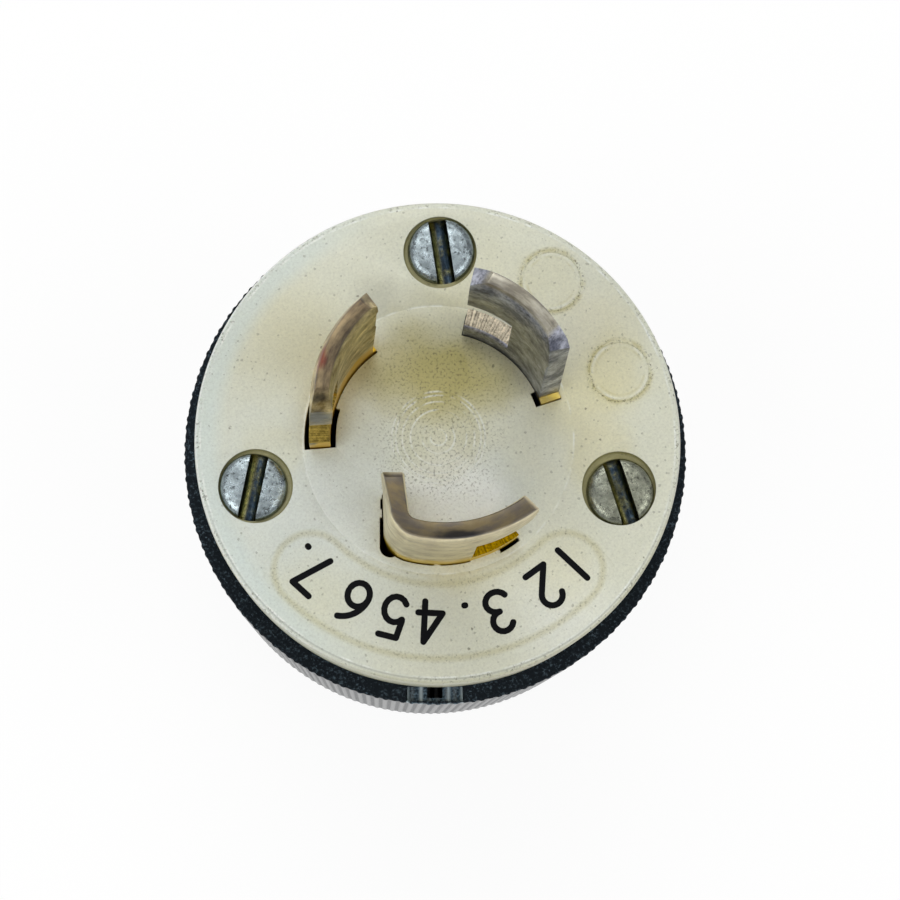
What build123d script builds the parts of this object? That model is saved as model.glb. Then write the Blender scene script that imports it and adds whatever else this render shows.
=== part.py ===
from build123d import *
from math import asin, cos, degrees, radians, sin
import os

os.makedirs("parts", exist_ok=True)

# Locking plug with two curved poles and an L-shaped ground blade, standing on its cord end.
# Millimetres. +Z runs along the plug towards the blade tips. The origin is the middle of the tail.

# Housing
grip_diameter = 39.2
grip_flare = 0.5
housing_wall = 2.8
chamber_wall = 4.8
chamber_height = 8.0
end_wall = 3.0
shoulder_height = 5.0
shoulder_edge = 1.0
neck_inset = 2.1
neck_height = 13.0
neck_edge = 0.8
rim_break = 0.2

# Notch in the housing's rim, on the ground blade's side
rim_notch_width = 4.4
rim_notch_depth = 2.4
rim_notch_web = 0.35
rim_notch_offset = 0.2
rim_notch_hole_width = 1.4
rim_notch_hole_depth = 5.5
rim_notch_hole_reach = 1.2

# Front body
ledge_width = 1.35
face_rise = 6.9
face_edge = 0.35
spigot_length = 5.15
spigot_clearance = 0.2

# Blades, angles measured anticlockwise from +X
blade_sheet = 1.55
blade_length = 16.5
pole_outer_radius = 9.7
pole_arc_angle = 57.0
line_start_angle = 20.0
neutral_start_angle = 126.0
ground_outer_radius = 9.45
ground_end_angle = -49.5
ground_leg_offset = 3.38
ground_leg_reach = 3.5
ground_corner_round = 1.9
notch_arc_angle = 25.0
notch_floor = 2.3
notch_height = 7.6
hook_setback_angle = 1.5
tip_bevel_width = 0.42
tip_bevel_height = 1.6

# Slots round the blades
slot_clearance = 0.3
slot_run_in_angle = 3.0
slot_run_out_angle = 0.5
crush_rib_gap = 0.05
crush_rib_angles = (-90.8, -63.2)
leg_rib_distance = 5.7

# Terminals
block_height = 13.95
block_clearance = 0.4
block_floor = 1.6
terminal_inset = 3.4
terminal_width = 8.0
terminal_drop = 10.4
terminal_screw_drop = 6.0
seat_clearance = 0.2
terminal_clearance = 0.3
clamp_plate_thickness = 1.2
clamp_plate_width = 7.2
clamp_plate_height = 7.0
terminal_screw_radius = 1.5
terminal_screw_length = 6.2
terminal_head_radius = 2.9
terminal_head_height = 1.9
terminal_slot_width = 0.9
terminal_slot_depth = 0.9
thread_clearance = 0.05
wire_hole_radius = 2.0

# Assembly screws and their inserts
screw_inset = 2.65
screw_angles = (90.0, 194.5, -14.5)
screw_slot_angles = (97.0, 72.0, 108.0)
screw_radius = 1.6
screw_hole_clearance = 0.3
screw_head_radius = 2.5
screw_head_height = 2.75
screw_head_dome_height = 0.6
screw_head_dome_width = 1.0
screw_head_clearance = 0.27
screw_head_depth = 2.9
screw_slot_width = 1.3
screw_slot_depth = 1.2
screw_tip_overrun = 1.0
boss_radius = 3.3
boss_clearance = 0.3
boss_rise = 8.0
insert_radius = 2.4
insert_length = 7.0
insert_clearance = 0.05

# Cord entry and cord clamp
cord_hole_inset = 6.8
grommet_wall = 2.5
grommet_clearance = 0.1
grommet_flange_width = 2.0
grommet_flange_height = 1.5
jaw_gap = 1.5
jaw_depth = 12.3
jaw_width = 26.0
jaw_foot_gap = 1.0
jaw_clearance = 0.2
jaw_grip_radius = 6.3
jaw_rib_height = 0.6
jaw_rib_width = 1.2
jaw_groove_height = 3.2
tongue_reach = 1.0
tongue_length = 9.5
tongue_height = 3.0
clamp_screw_spread = 9.4
clamp_screw_radius = 1.5
clamp_screw_clearance = 0.2
clamp_head_radius = 2.6
clamp_head_height = 2.0
clamp_head_sink = 2.2
clamp_slot_width = 0.8
clamp_slot_depth = 0.9
clamp_nut_flats = 5.5
clamp_nut_height = 2.4
clamp_nut_clearance = 0.1

# Heights, from the tail up
z_end_wall = neck_height
z_shoulder = z_end_wall + shoulder_height
z_chamber = z_end_wall + end_wall
z_block = z_chamber + chamber_height
z_spigot = z_block + block_height
z_seat = z_spigot - blade_sheet
z_ledge = z_spigot + spigot_length
z_face = z_ledge + face_rise
z_tip = z_face + blade_length
z_terminal = z_seat - terminal_screw_drop
z_terminal_foot = z_seat - terminal_drop
z_pocket = z_block + block_floor
z_boss = z_block + boss_rise
z_insert = z_boss - insert_length
z_head_seat = z_face - screw_head_depth
z_screw_end = z_insert + screw_tip_overrun

# Radii
grip_radius = grip_diameter / 2
shoulder_radius = (grip_diameter + grip_flare) / 2
bore_radius = grip_radius - housing_wall
chamber_radius = grip_radius - chamber_wall
cord_hole_radius = chamber_radius - cord_hole_inset
cord_radius = cord_hole_radius - grommet_wall
neck_radius = grip_radius - neck_inset
face_radius = grip_radius - ledge_width
spigot_radius = bore_radius - spigot_clearance
block_radius = bore_radius - block_clearance
pole_radius = pole_outer_radius - blade_sheet / 2
ground_radius = ground_outer_radius - blade_sheet / 2
screw_circle_radius = bore_radius - screw_inset
terminal_radius = block_radius - terminal_inset
terminal_inner = terminal_radius - blade_sheet
plate_outer = terminal_radius + clamp_plate_thickness
slot_width = blade_sheet + 2 * slot_clearance
seat_width = blade_sheet + 2 * seat_clearance
slot_wall_radius = ground_outer_radius + slot_clearance
crush_rib_radius = slot_clearance - crush_rib_gap

# The ground blade's corner, where its arc meets the leg that runs towards the axis
ground_start_angle = -90 - degrees(asin(ground_leg_offset / ground_radius))
ground_arc_angle = ground_end_angle - ground_start_angle

# Each blade's start, span and centre-line radius, and the direction of its terminal
blade_arcs = {
    "line": (line_start_angle, pole_arc_angle, pole_radius),
    "neutral": (neutral_start_angle, pole_arc_angle, pole_radius),
    "ground": (ground_start_angle, ground_arc_angle, ground_radius),
}
terminal_angles = {pole: start + span / 2 for pole, (start, span, _) in blade_arcs.items()}

# Cord clamp, whose jaws slide between the two cheeks of the tail
channel_width = jaw_width + 2 * jaw_clearance
jaw_top = z_end_wall - jaw_clearance
jaw_height = jaw_top - jaw_foot_gap
z_clamp = jaw_foot_gap + jaw_height / 2
jaw_outer = jaw_gap / 2 + jaw_depth
groove_reach = tongue_reach + jaw_clearance
clamp_head_seat = jaw_outer - clamp_head_sink
clamp_nut_seat = jaw_outer - clamp_nut_height
clamp_points = [(clamp_screw_spread, z_clamp), (-clamp_screw_spread, z_clamp)]


def polar_point(radius, angle):
    """Point on a circle about the axis."""
    return radius * cos(radians(angle)), radius * sin(radians(angle))


def axial_plane(angle):
    """Upright plane through the axis, with x outwards at the angle and y up."""
    c, s = cos(radians(angle)), sin(radians(angle))
    return Plane((0, 0, 0), x_dir=(c, s, 0), z_dir=(s, -c, 0))


def level_plane(angle, height):
    """Level plane over the axis, with x outwards at the angle."""
    c, s = cos(radians(angle)), sin(radians(angle))
    return Plane((0, 0, height), x_dir=(c, s, 0), z_dir=(0, 0, 1))


def outward_plane(angle, radius, height):
    """Plane that faces outwards at a radius, with x along the tangent and y up."""
    c, s = cos(radians(angle)), sin(radians(angle))
    return Plane((radius * c, radius * s, height), x_dir=(-s, c, 0), z_dir=(c, s, 0))


def blade_section(pole, width, run_in=0.0, run_out=0.0, leg_run=0.0):
    """Adds a blade's plan section to the sketch under way, as a strip along its centre line."""
    start, span, radius = blade_arcs[pole]
    with BuildLine() as centre:
        if pole == "ground":
            arc = CenterArc((0, 0), radius, start, span + run_out)
            Line((-ground_leg_offset, -ground_leg_reach + leg_run - blade_sheet / 2), arc @ 0)
            fillet(centre.vertices().sort_by_distance(arc @ 0)[0], radius=ground_corner_round)
        else:
            CenterArc((0, 0), radius, start - run_in, span + run_in + run_out)
    trace(centre.line, line_width=width)


screw_points = [polar_point(screw_circle_radius, angle) for angle in screw_angles]


with BuildPart() as housing:
    with BuildSketch(Plane.XZ):
        with BuildLine():
            Polyline(
                (cord_hole_radius, z_end_wall),
                (neck_radius, z_end_wall),
                (shoulder_radius - shoulder_edge / 2, z_shoulder - shoulder_edge),
                (shoulder_radius, z_shoulder),
                (grip_radius, z_ledge - rim_break),
                (grip_radius - rim_break, z_ledge),
                (bore_radius, z_ledge),
                (bore_radius, z_block),
                (chamber_radius, z_block),
                (chamber_radius, z_chamber),
                (cord_hole_radius, z_chamber),
                close=True,
            )
        make_face()
    revolve(axis=Axis.Z)
    # Two cheeks form the tail, with a channel between them for the clamp jaws
    with BuildSketch(Plane.XY):
        Circle(neck_radius)
        Rectangle(2 * neck_radius, channel_width, mode=Mode.SUBTRACT)
    extrude(amount=z_end_wall)
    tail_edges = housing.faces().group_by(Axis.Z)[0].edges().filter_by(GeomType.CIRCLE)
    chamfer(tail_edges, length=neck_edge)
    with BuildSketch(Plane.YZ.offset(-neck_radius)):
        with Locations((0, z_clamp)):
            Rectangle(channel_width + 2 * groove_reach, tongue_height + 2 * jaw_clearance)
    extrude(amount=2 * neck_radius, mode=Mode.SUBTRACT)
    # Bosses stand in the chamber and hold the threaded inserts
    with BuildSketch(Plane.XY.offset(z_chamber)):
        with Locations(*screw_points):
            Circle(boss_radius)
    extrude(amount=z_boss - z_chamber)
    with BuildSketch(Plane.XY.offset(z_insert)):
        with Locations(*screw_points):
            Circle(insert_radius + insert_clearance)
    extrude(amount=insert_length, mode=Mode.SUBTRACT)
    # The notch in the rim opens against the front body, over a narrow drain hole
    with BuildSketch(Plane.XY.offset(z_ledge)):
        with Locations((-rim_notch_offset, -grip_radius + rim_notch_web)):
            Rectangle(rim_notch_width, grip_radius - face_radius, align=(Align.CENTER, Align.MIN))
    extrude(amount=-rim_notch_depth, mode=Mode.SUBTRACT)
    with BuildSketch(Plane.XY.offset(z_ledge)):
        with Locations((-rim_notch_offset, -grip_radius + rim_notch_web)):
            Rectangle(rim_notch_hole_width, rim_notch_hole_reach, align=(Align.CENTER, Align.MIN))
    extrude(amount=-rim_notch_hole_depth, mode=Mode.SUBTRACT)
housing.part.label = "housing"
export_step(housing.part, "parts/housing.step")


with BuildPart() as front_body:
    with BuildSketch(Plane.XY.offset(z_spigot)):
        Circle(spigot_radius)
    extrude(amount=spigot_length)
    with BuildSketch(Plane.XY.offset(z_ledge)):
        Circle(face_radius)
    extrude(amount=face_rise)
    chamfer(front_body.faces().sort_by(Axis.Z)[-1].edges(), length=face_edge)
    for pole in blade_arcs:
        with BuildSketch(Plane.XY.offset(z_spigot)):
            blade_section(pole, slot_width, slot_run_in_angle, slot_run_out_angle, slot_clearance)
        extrude(amount=z_face - z_spigot, mode=Mode.SUBTRACT)
    # Crush ribs on the walls of the ground slot steady the blade
    with BuildSketch(Plane.XY.offset(z_spigot)):
        with Locations(*[polar_point(slot_wall_radius, angle) for angle in crush_rib_angles]):
            Circle(crush_rib_radius)
        with Locations((-ground_leg_offset - slot_width / 2, -leg_rib_distance)):
            Circle(crush_rib_radius)
    extrude(amount=z_face - z_spigot)
    with Locations(*[(x, y, z_face) for x, y in screw_points]):
        CounterBoreHole(
            radius=screw_radius + screw_hole_clearance,
            counter_bore_radius=screw_head_radius + screw_head_clearance,
            counter_bore_depth=screw_head_depth,
            depth=z_face - z_spigot,
        )
front_body.part.label = "front_body"
export_step(front_body.part, "parts/front_body.step")


with BuildPart() as terminal_block:
    with BuildSketch(Plane.XY.offset(z_block)):
        Circle(block_radius)
        with Locations(*screw_points):
            Circle(boss_radius + boss_clearance, mode=Mode.SUBTRACT)
    extrude(amount=block_height)
    for pole, angle in terminal_angles.items():
        # The blade's root and foot lie in a seat as deep as the sheet
        with BuildSketch(Plane.XY.offset(z_seat)):
            blade_section(pole, seat_width, slot_run_out_angle, slot_run_out_angle, seat_clearance)
        extrude(amount=blade_sheet, mode=Mode.SUBTRACT)
        with BuildSketch(level_plane(angle, z_seat)):
            with Locations((blade_arcs[pole][2], 0)):
                Rectangle(
                    block_radius,
                    terminal_width + 2 * terminal_clearance,
                    align=(Align.MIN, Align.CENTER),
                )
        extrude(amount=blade_sheet, mode=Mode.SUBTRACT)
        # A pocket, open to the outside, takes the terminal leg, its plate and its screw
        with BuildSketch(level_plane(angle, z_pocket)):
            with Locations((terminal_inner, 0)):
                Rectangle(
                    block_radius,
                    terminal_width + 2 * terminal_clearance,
                    align=(Align.MIN, Align.CENTER),
                )
        extrude(amount=z_spigot - z_pocket, mode=Mode.SUBTRACT)
        with BuildSketch(level_plane(angle, z_block)):
            with Locations((plate_outer, 0)):
                Circle(wire_hole_radius)
        extrude(amount=block_floor, mode=Mode.SUBTRACT)
        with BuildSketch(outward_plane(angle, terminal_inner, z_terminal)):
            Circle(terminal_screw_radius + terminal_clearance)
        extrude(amount=-terminal_screw_length, mode=Mode.SUBTRACT)
terminal_block.part.label = "terminal_block"
export_step(terminal_block.part, "parts/terminal_block.step")


# Each blade is one strip of sheet: a locking blade, a foot and a tapped terminal leg
for pole, (start, span, radius) in blade_arcs.items():
    with BuildPart() as blade:
        with BuildSketch(Plane.XY.offset(z_seat)):
            blade_section(pole, blade_sheet)
        extrude(amount=z_tip - z_seat)
        # The tip is coined to a bevel all round
        tip_face = blade.faces().sort_by(Axis.Z)[-1]
        chamfer(tip_face.edges(), length=tip_bevel_width, length2=tip_bevel_height, reference=tip_face)
        # The notch lets the blade turn behind the contact, and the hook above it holds the plug in
        with BuildSketch(axial_plane(start + span - notch_arc_angle)):
            with Locations((radius, z_face + notch_floor)):
                Rectangle(2 * blade_sheet, notch_height, align=(Align.CENTER, Align.MIN))
        revolve(axis=Axis.Z, revolution_arc=notch_arc_angle + slot_run_in_angle, mode=Mode.SUBTRACT)
        with BuildSketch(axial_plane(start + span - hook_setback_angle)):
            with Locations((radius, z_face + notch_floor)):
                Rectangle(2 * blade_sheet, blade_length, align=(Align.CENTER, Align.MIN))
        revolve(axis=Axis.Z, revolution_arc=hook_setback_angle + slot_run_in_angle, mode=Mode.SUBTRACT)
        # Foot and terminal leg
        angle = terminal_angles[pole]
        with BuildSketch(level_plane(angle, z_seat)):
            with Locations((radius, 0)):
                Rectangle(terminal_radius - radius, terminal_width, align=(Align.MIN, Align.CENTER))
        extrude(amount=blade_sheet)
        with BuildSketch(outward_plane(angle, terminal_radius, z_terminal_foot)):
            Rectangle(terminal_width, terminal_drop + blade_sheet, align=(Align.CENTER, Align.MIN))
            with Locations((0, z_terminal - z_terminal_foot)):
                Circle(terminal_screw_radius + thread_clearance, mode=Mode.SUBTRACT)
        extrude(amount=-blade_sheet)
    blade.part.label = f"{pole}_blade"
    export_step(blade.part, f"parts/{pole}_blade.step")


# Clamp plates, each pressed against its terminal leg by the screw's head
for pole, angle in terminal_angles.items():
    with BuildPart() as clamp_plate:
        with BuildSketch(outward_plane(angle, terminal_radius, z_terminal)):
            Rectangle(clamp_plate_width, clamp_plate_height)
            Circle(terminal_screw_radius + thread_clearance, mode=Mode.SUBTRACT)
        extrude(amount=clamp_plate_thickness)
    clamp_plate.part.label = f"{pole}_clamp_plate"
    export_step(clamp_plate.part, f"parts/{pole}_clamp_plate.step")


for pole, angle in terminal_angles.items():
    with BuildPart() as terminal_screw:
        with BuildSketch(outward_plane(angle, plate_outer, z_terminal)):
            Circle(terminal_screw_radius)
        extrude(amount=-terminal_screw_length)
        with BuildSketch(outward_plane(angle, plate_outer, z_terminal)):
            Circle(terminal_head_radius)
        extrude(amount=terminal_head_height)
        with BuildSketch(outward_plane(angle, plate_outer + terminal_head_height, z_terminal)):
            Rectangle(2 * terminal_head_radius, terminal_slot_width)
        extrude(amount=-terminal_slot_depth, mode=Mode.SUBTRACT)
    terminal_screw.part.label = f"{pole}_terminal_screw"
    export_step(terminal_screw.part, f"parts/{pole}_terminal_screw.step")


with BuildPart() as assembly_screws:
    with BuildSketch(Plane.XY.offset(z_screw_end)):
        with Locations(*screw_points):
            Circle(screw_radius)
    extrude(amount=z_head_seat - z_screw_end)
    with BuildSketch(Plane.XY.offset(z_head_seat)):
        with Locations(*screw_points):
            Circle(screw_head_radius)
    extrude(amount=screw_head_height)
    head_edges = assembly_screws.faces().group_by(Axis.Z)[-1].edges()
    chamfer(head_edges, length=screw_head_dome_height, length2=screw_head_dome_width)
    for point, angle in zip(screw_points, screw_slot_angles):
        with BuildSketch(Plane.XY.offset(z_head_seat + screw_head_height)):
            with Locations(Location((*point, 0), (0, 0, angle))):
                Rectangle(2 * screw_head_radius, screw_slot_width)
        extrude(amount=-screw_slot_depth, mode=Mode.SUBTRACT)
assembly_screws.part.label = "assembly_screws"
export_step(assembly_screws.part, "parts/assembly_screws.step")


with BuildPart() as threaded_inserts:
    with BuildSketch(Plane.XY.offset(z_insert)):
        with Locations(*screw_points):
            Circle(insert_radius)
        with Locations(*screw_points):
            Circle(screw_radius + thread_clearance, mode=Mode.SUBTRACT)
    extrude(amount=insert_length)
threaded_inserts.part.label = "threaded_inserts"
export_step(threaded_inserts.part, "parts/threaded_inserts.step")


with BuildPart() as cord_grommet:
    with BuildSketch(Plane.XZ):
        with BuildLine():
            Polyline(
                (cord_radius, z_end_wall),
                (cord_hole_radius - grommet_clearance, z_end_wall),
                (cord_hole_radius - grommet_clearance, z_chamber),
                (cord_hole_radius + grommet_flange_width, z_chamber),
                (cord_hole_radius + grommet_flange_width, z_chamber + grommet_flange_height),
                (cord_radius, z_chamber + grommet_flange_height),
                close=True,
            )
        make_face()
    revolve(axis=Axis.Z)
cord_grommet.part.label = "cord_grommet"
export_step(cord_grommet.part, "parts/cord_grommet.step")


# The two jaws of the cord clamp differ in what they hold: screw heads at the right, nuts at the left
for name, side in (("right", 1), ("left", -1)):
    with BuildPart() as jaw:
        with BuildSketch(Plane.XY.offset(jaw_foot_gap)):
            Circle(neck_radius)
            with Locations((side * (jaw_gap + jaw_depth) / 2, 0)):
                Rectangle(jaw_depth, jaw_width, mode=Mode.INTERSECT)
            Circle(jaw_grip_radius, mode=Mode.SUBTRACT)
        extrude(amount=jaw_height)
        # Grooves leave ribs that bite into the cord
        for level in (z_clamp + jaw_rib_width / 2, z_clamp - jaw_rib_width / 2 - jaw_groove_height):
            with BuildSketch(Plane.XY.offset(level)):
                Circle(jaw_grip_radius + jaw_rib_height)
            extrude(amount=jaw_groove_height, mode=Mode.SUBTRACT)
        # A tongue on each side runs in the groove of the tail's cheek
        with BuildSketch(Plane.YZ.offset(side * jaw_gap / 2)):
            with Locations((0, z_clamp)):
                Rectangle(jaw_width + 2 * tongue_reach, tongue_height)
                Rectangle(jaw_width, tongue_height, mode=Mode.SUBTRACT)
        extrude(amount=side * tongue_length)
        with BuildSketch(Plane.YZ.offset(side * jaw_outer)):
            with Locations(*clamp_points):
                Circle(clamp_screw_radius + clamp_screw_clearance)
        extrude(amount=-side * jaw_depth, mode=Mode.SUBTRACT)
        with BuildSketch(Plane.YZ.offset(side * jaw_outer)):
            with Locations(*clamp_points):
                if name == "right":
                    Circle(clamp_head_radius + clamp_screw_clearance)
                else:
                    RegularPolygon(clamp_nut_flats / 2 + clamp_nut_clearance, 6, major_radius=False)
        extrude(amount=-side * (clamp_head_sink if name == "right" else clamp_nut_height), mode=Mode.SUBTRACT)
    jaw.part.label = f"{name}_clamp_jaw"
    export_step(jaw.part, f"parts/{name}_clamp_jaw.step")


with BuildPart() as clamp_screws:
    with BuildSketch(Plane.YZ.offset(clamp_head_seat)):
        with Locations(*clamp_points):
            Circle(clamp_screw_radius)
    extrude(amount=-(clamp_head_seat + jaw_outer))
    with BuildSketch(Plane.YZ.offset(clamp_head_seat)):
        with Locations(*clamp_points):
            Circle(clamp_head_radius)
    extrude(amount=clamp_head_height)
    with BuildSketch(Plane.YZ.offset(clamp_head_seat + clamp_head_height)):
        with Locations(*clamp_points):
            Rectangle(2 * clamp_head_radius, clamp_slot_width)
    extrude(amount=-clamp_slot_depth, mode=Mode.SUBTRACT)
clamp_screws.part.label = "clamp_screws"
export_step(clamp_screws.part, "parts/clamp_screws.step")


with BuildPart() as clamp_nuts:
    with BuildSketch(Plane.YZ.offset(-clamp_nut_seat)):
        with Locations(*clamp_points):
            RegularPolygon(clamp_nut_flats / 2, 6, major_radius=False)
        with Locations(*clamp_points):
            Circle(clamp_screw_radius + thread_clearance, mode=Mode.SUBTRACT)
    extrude(amount=-clamp_nut_height)
clamp_nuts.part.label = "clamp_nuts"
export_step(clamp_nuts.part, "parts/clamp_nuts.step")
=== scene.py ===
import math
from contextlib import contextmanager
from functools import partial
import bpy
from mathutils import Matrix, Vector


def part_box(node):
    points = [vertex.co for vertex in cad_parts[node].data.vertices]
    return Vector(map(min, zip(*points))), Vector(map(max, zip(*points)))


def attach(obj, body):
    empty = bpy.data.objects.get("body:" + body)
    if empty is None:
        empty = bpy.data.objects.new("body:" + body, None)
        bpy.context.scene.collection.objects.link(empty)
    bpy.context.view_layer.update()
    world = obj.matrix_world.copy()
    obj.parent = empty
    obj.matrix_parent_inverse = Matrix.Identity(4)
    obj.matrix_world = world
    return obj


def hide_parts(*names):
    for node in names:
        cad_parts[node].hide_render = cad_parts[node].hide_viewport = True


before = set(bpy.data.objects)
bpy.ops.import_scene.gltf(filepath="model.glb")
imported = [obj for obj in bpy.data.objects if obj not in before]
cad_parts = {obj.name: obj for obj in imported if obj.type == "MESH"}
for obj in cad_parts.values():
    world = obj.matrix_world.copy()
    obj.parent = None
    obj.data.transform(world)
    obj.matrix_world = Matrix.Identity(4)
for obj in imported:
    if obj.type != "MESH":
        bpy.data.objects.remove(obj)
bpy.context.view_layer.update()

from types import SimpleNamespace

import bmesh
import bpy
from bpy.props import FloatProperty, FloatVectorProperty, IntProperty, PointerProperty
from mathutils import Matrix, Vector

bl_info = {
    "name": "Locking Plug",
    "version": (1, 0, 0),
    "blender": (4, 5, 0),
    "location": "View3D > Sidebar > Plug",
    "description": "Models a worn locking plug around its packed solids",
    "category": "Object",
}

# Pieces are modelled in millimetres and brought to metres when they are finished
MM = 0.001
# Points nearer than this are one
NEAR = 1e-3
# Wells of the assembly screws, the turns of their slots and how far each stands off the middle of its well
SCREWS = (("top", (0.18, 14.32), math.radians(98.5), (0.1, 0.15)),
          ("left", (-13.64, -3.54), math.radians(78.5), (-0.17, -0.05)),
          ("right", (13.52, -3.72), math.radians(107.5), (0.12, -0.26)))
POLES = ("line", "neutral", "ground")
# Bearing of the ground blade's terminal
TERMINAL_TURN = math.radians(-81.2)
# Radii of the low moulded rings in the middle of the face, and how far up their middle lies
CENTRE_RINGS, CENTRE_SHIFT = (0.6, 1.22, 2.1, 2.72, 3.2, 3.5), 0.1
# Radius of the witness line round the blades, and where the middle of the rim's notch lies across the plug
WITNESS_RADIUS, NOTCH_MIDDLE = 10.17, -0.15
# Middles and radii of the two raised rings at the upper right
FACE_RINGS = ((8.62, 12.12, 2.28), (13.72, 5.18, 2.25))


def linear(hex_colour):
    """Linear RGB of an sRGB hex colour."""
    channels = [int(hex_colour[i:i + 2], 16) / 255 for i in (1, 3, 5)]
    return tuple(c / 12.92 if c <= 0.04045 else ((c + 0.055) / 1.055) ** 2.4 for c in channels)


def length(name, description, millimetres):
    """A length property with its default in millimetres."""
    return FloatProperty(name=name, description=description, default=millimetres * MM, unit="LENGTH",
                         subtype="DISTANCE", precision=5)


def turn(name, description, degrees):
    """An angle property with its default in degrees."""
    return FloatProperty(name=name, description=description, default=math.radians(degrees), subtype="ANGLE")


def tint(name, description, hex_colour):
    """A colour property with its default as an sRGB hex value."""
    return FloatVectorProperty(name=name, description=description, default=linear(hex_colour), size=3,
                               subtype="COLOR", min=0, max=1)


BODY_LOW, BODY_HIGH = (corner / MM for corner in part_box("front_body"))
LEDGE, TIP = (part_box(node)[1].z / MM for node in ("housing", "line_blade"))


class PlugLengths(bpy.types.PropertyGroup):
    """Lengths that shape the plug."""
    face_radius: length("Face radius", "Radius of the front body's face", BODY_HIGH.x)
    face_height: length("Face height", "Height of the face above the tail", BODY_HIGH.z)
    face_edge: length("Face edge", "Rounding of the face's rim", 0.45)
    spigot_foot: length("Spigot foot", "Height of the front body's lower end", BODY_LOW.z)
    spigot_radius: length("Spigot radius", "Radius of the front body inside the housing", 16.6)
    grip_radius: length("Grip radius", "Radius over the ribs at the housing's rim", 19.6)
    grip_flare: length("Grip flare", "Growth of the grip's radius towards its shoulder", 0.06)
    rib_height: length("Rib height", "Height of the grip's fine ribs", 0.075)
    ledge_height: length("Ledge height", "Height of the housing's rim", LEDGE)
    rim_notch: length("Rim notch", "Depth of the shallow notch in the rim", 0.7)
    neck_radius: length("Neck radius", "Radius of the tail's cheeks", 17.5)
    neck_height: length("Neck height", "Height of the tail's cheeks", 13.0)
    channel_width: length("Channel width", "Width of the channel for the clamp jaws", 26.4)
    bore_radius: length("Bore radius", "Radius of the housing's bore", 16.8)
    chamber_radius: length("Chamber radius", "Radius of the wiring chamber", 14.8)
    cord_hole_radius: length("Cord hole radius", "Radius of the hole for the grommet", 8.0)
    sheet: length("Blade sheet", "Thickness of the blades", 1.55)
    tip_land: length("Tip land", "Thickness left at the coined tips of the curved poles", 0.95)
    ground_land: length("Ground land", "Thickness left at the ground blade's tip", 1.22)
    shoulder: length("Shoulder", "Height above the face of the shoulder at a pole's clockwise end", 0.45)
    tip_bevel: length("Tip bevel", "Height of the coined bevel", 1.7)
    tip_height: length("Tip height", "Height of the blade tips above the tail", TIP)
    notch_floor: length("Notch floor", "Height of the notch's floor above the face", 2.3)
    notch_top: length("Notch top", "Height of the hook's underside above the face", 9.9)
    pole_radius: length("Pole radius", "Centre-line radius of the two curved poles", 8.925)
    ground_radius: length("Ground radius", "Centre-line radius of the ground blade", 8.675)
    leg_offset: length("Leg offset", "Distance of the ground blade's leg from the axis", 3.38)
    leg_end: length("Leg end", "Distance of the leg's free end from the axis", 4.275)
    corner_radius: length("Corner radius", "Bend radius of the ground blade's corner", 1.5)
    screw_head: length("Screw head", "Radius of the assembly screws' heads", 2.52)
    screw_rise: length("Screw rise", "How far a screw's head stands above the face", 0.35)
    screw_gap: length("Screw gap", "Gap round a screw's head", 0.26)
    screw_slot: length("Screw slot", "Width of the driver slot", 1.35)
    numeral_foot: length("Numeral foot", "Radius at the foot of the numerals", 12.2)
    numeral_height: length("Numeral height", "Height of the numerals", 3.0)
    stroke: length("Stroke", "Width of the numerals' strokes", 0.47)
    pad_radius: length("Pad radius", "Middle radius of the sunk pad under the numerals", 13.65)
    pad_width: length("Pad width", "Width of the sunk pad", 5.5)
    pad_depth: length("Pad depth", "Depth of the sunk pad", 0.03)
    terminal_radius: length("Terminal radius", "Outer radius of the terminal legs", 13.0)


class PlugAngles(bpy.types.PropertyGroup):
    """Angles that shape the plug, and the number of its ribs."""
    line_start: turn("Line start", "Clockwise end of the line blade", 18.6)
    line_notch: turn("Line notch", "Where the line blade's notch starts", 51.5)
    line_root: turn("Line root", "Anticlockwise end of the line blade's root", 76.8)
    line_hook: turn("Line hook", "Anticlockwise end of the line blade's hook", 76.4)
    neutral_start: turn("Neutral start", "Clockwise end of the neutral blade", 124.9)
    neutral_notch: turn("Neutral notch", "Where the neutral blade's notch starts", 160)
    neutral_root: turn("Neutral root", "Anticlockwise end of the neutral blade's root", 184.2)
    neutral_hook: turn("Neutral hook", "Anticlockwise end of the neutral blade's hook", 184.0)
    ground_notch: turn("Ground notch", "Where the ground blade's notch starts", -75.5)
    ground_root: turn("Ground root", "Anticlockwise end of the ground blade's root", -52.0)
    ground_hook: turn("Ground hook", "Anticlockwise end of the ground blade's hook", -48.7)
    pad_arc: turn("Pad arc", "Arc of the sunk pad under the numerals", 111)
    rib_count: IntProperty(name="Rib count", description="Number of fine ribs round the grip", default=180)


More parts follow.
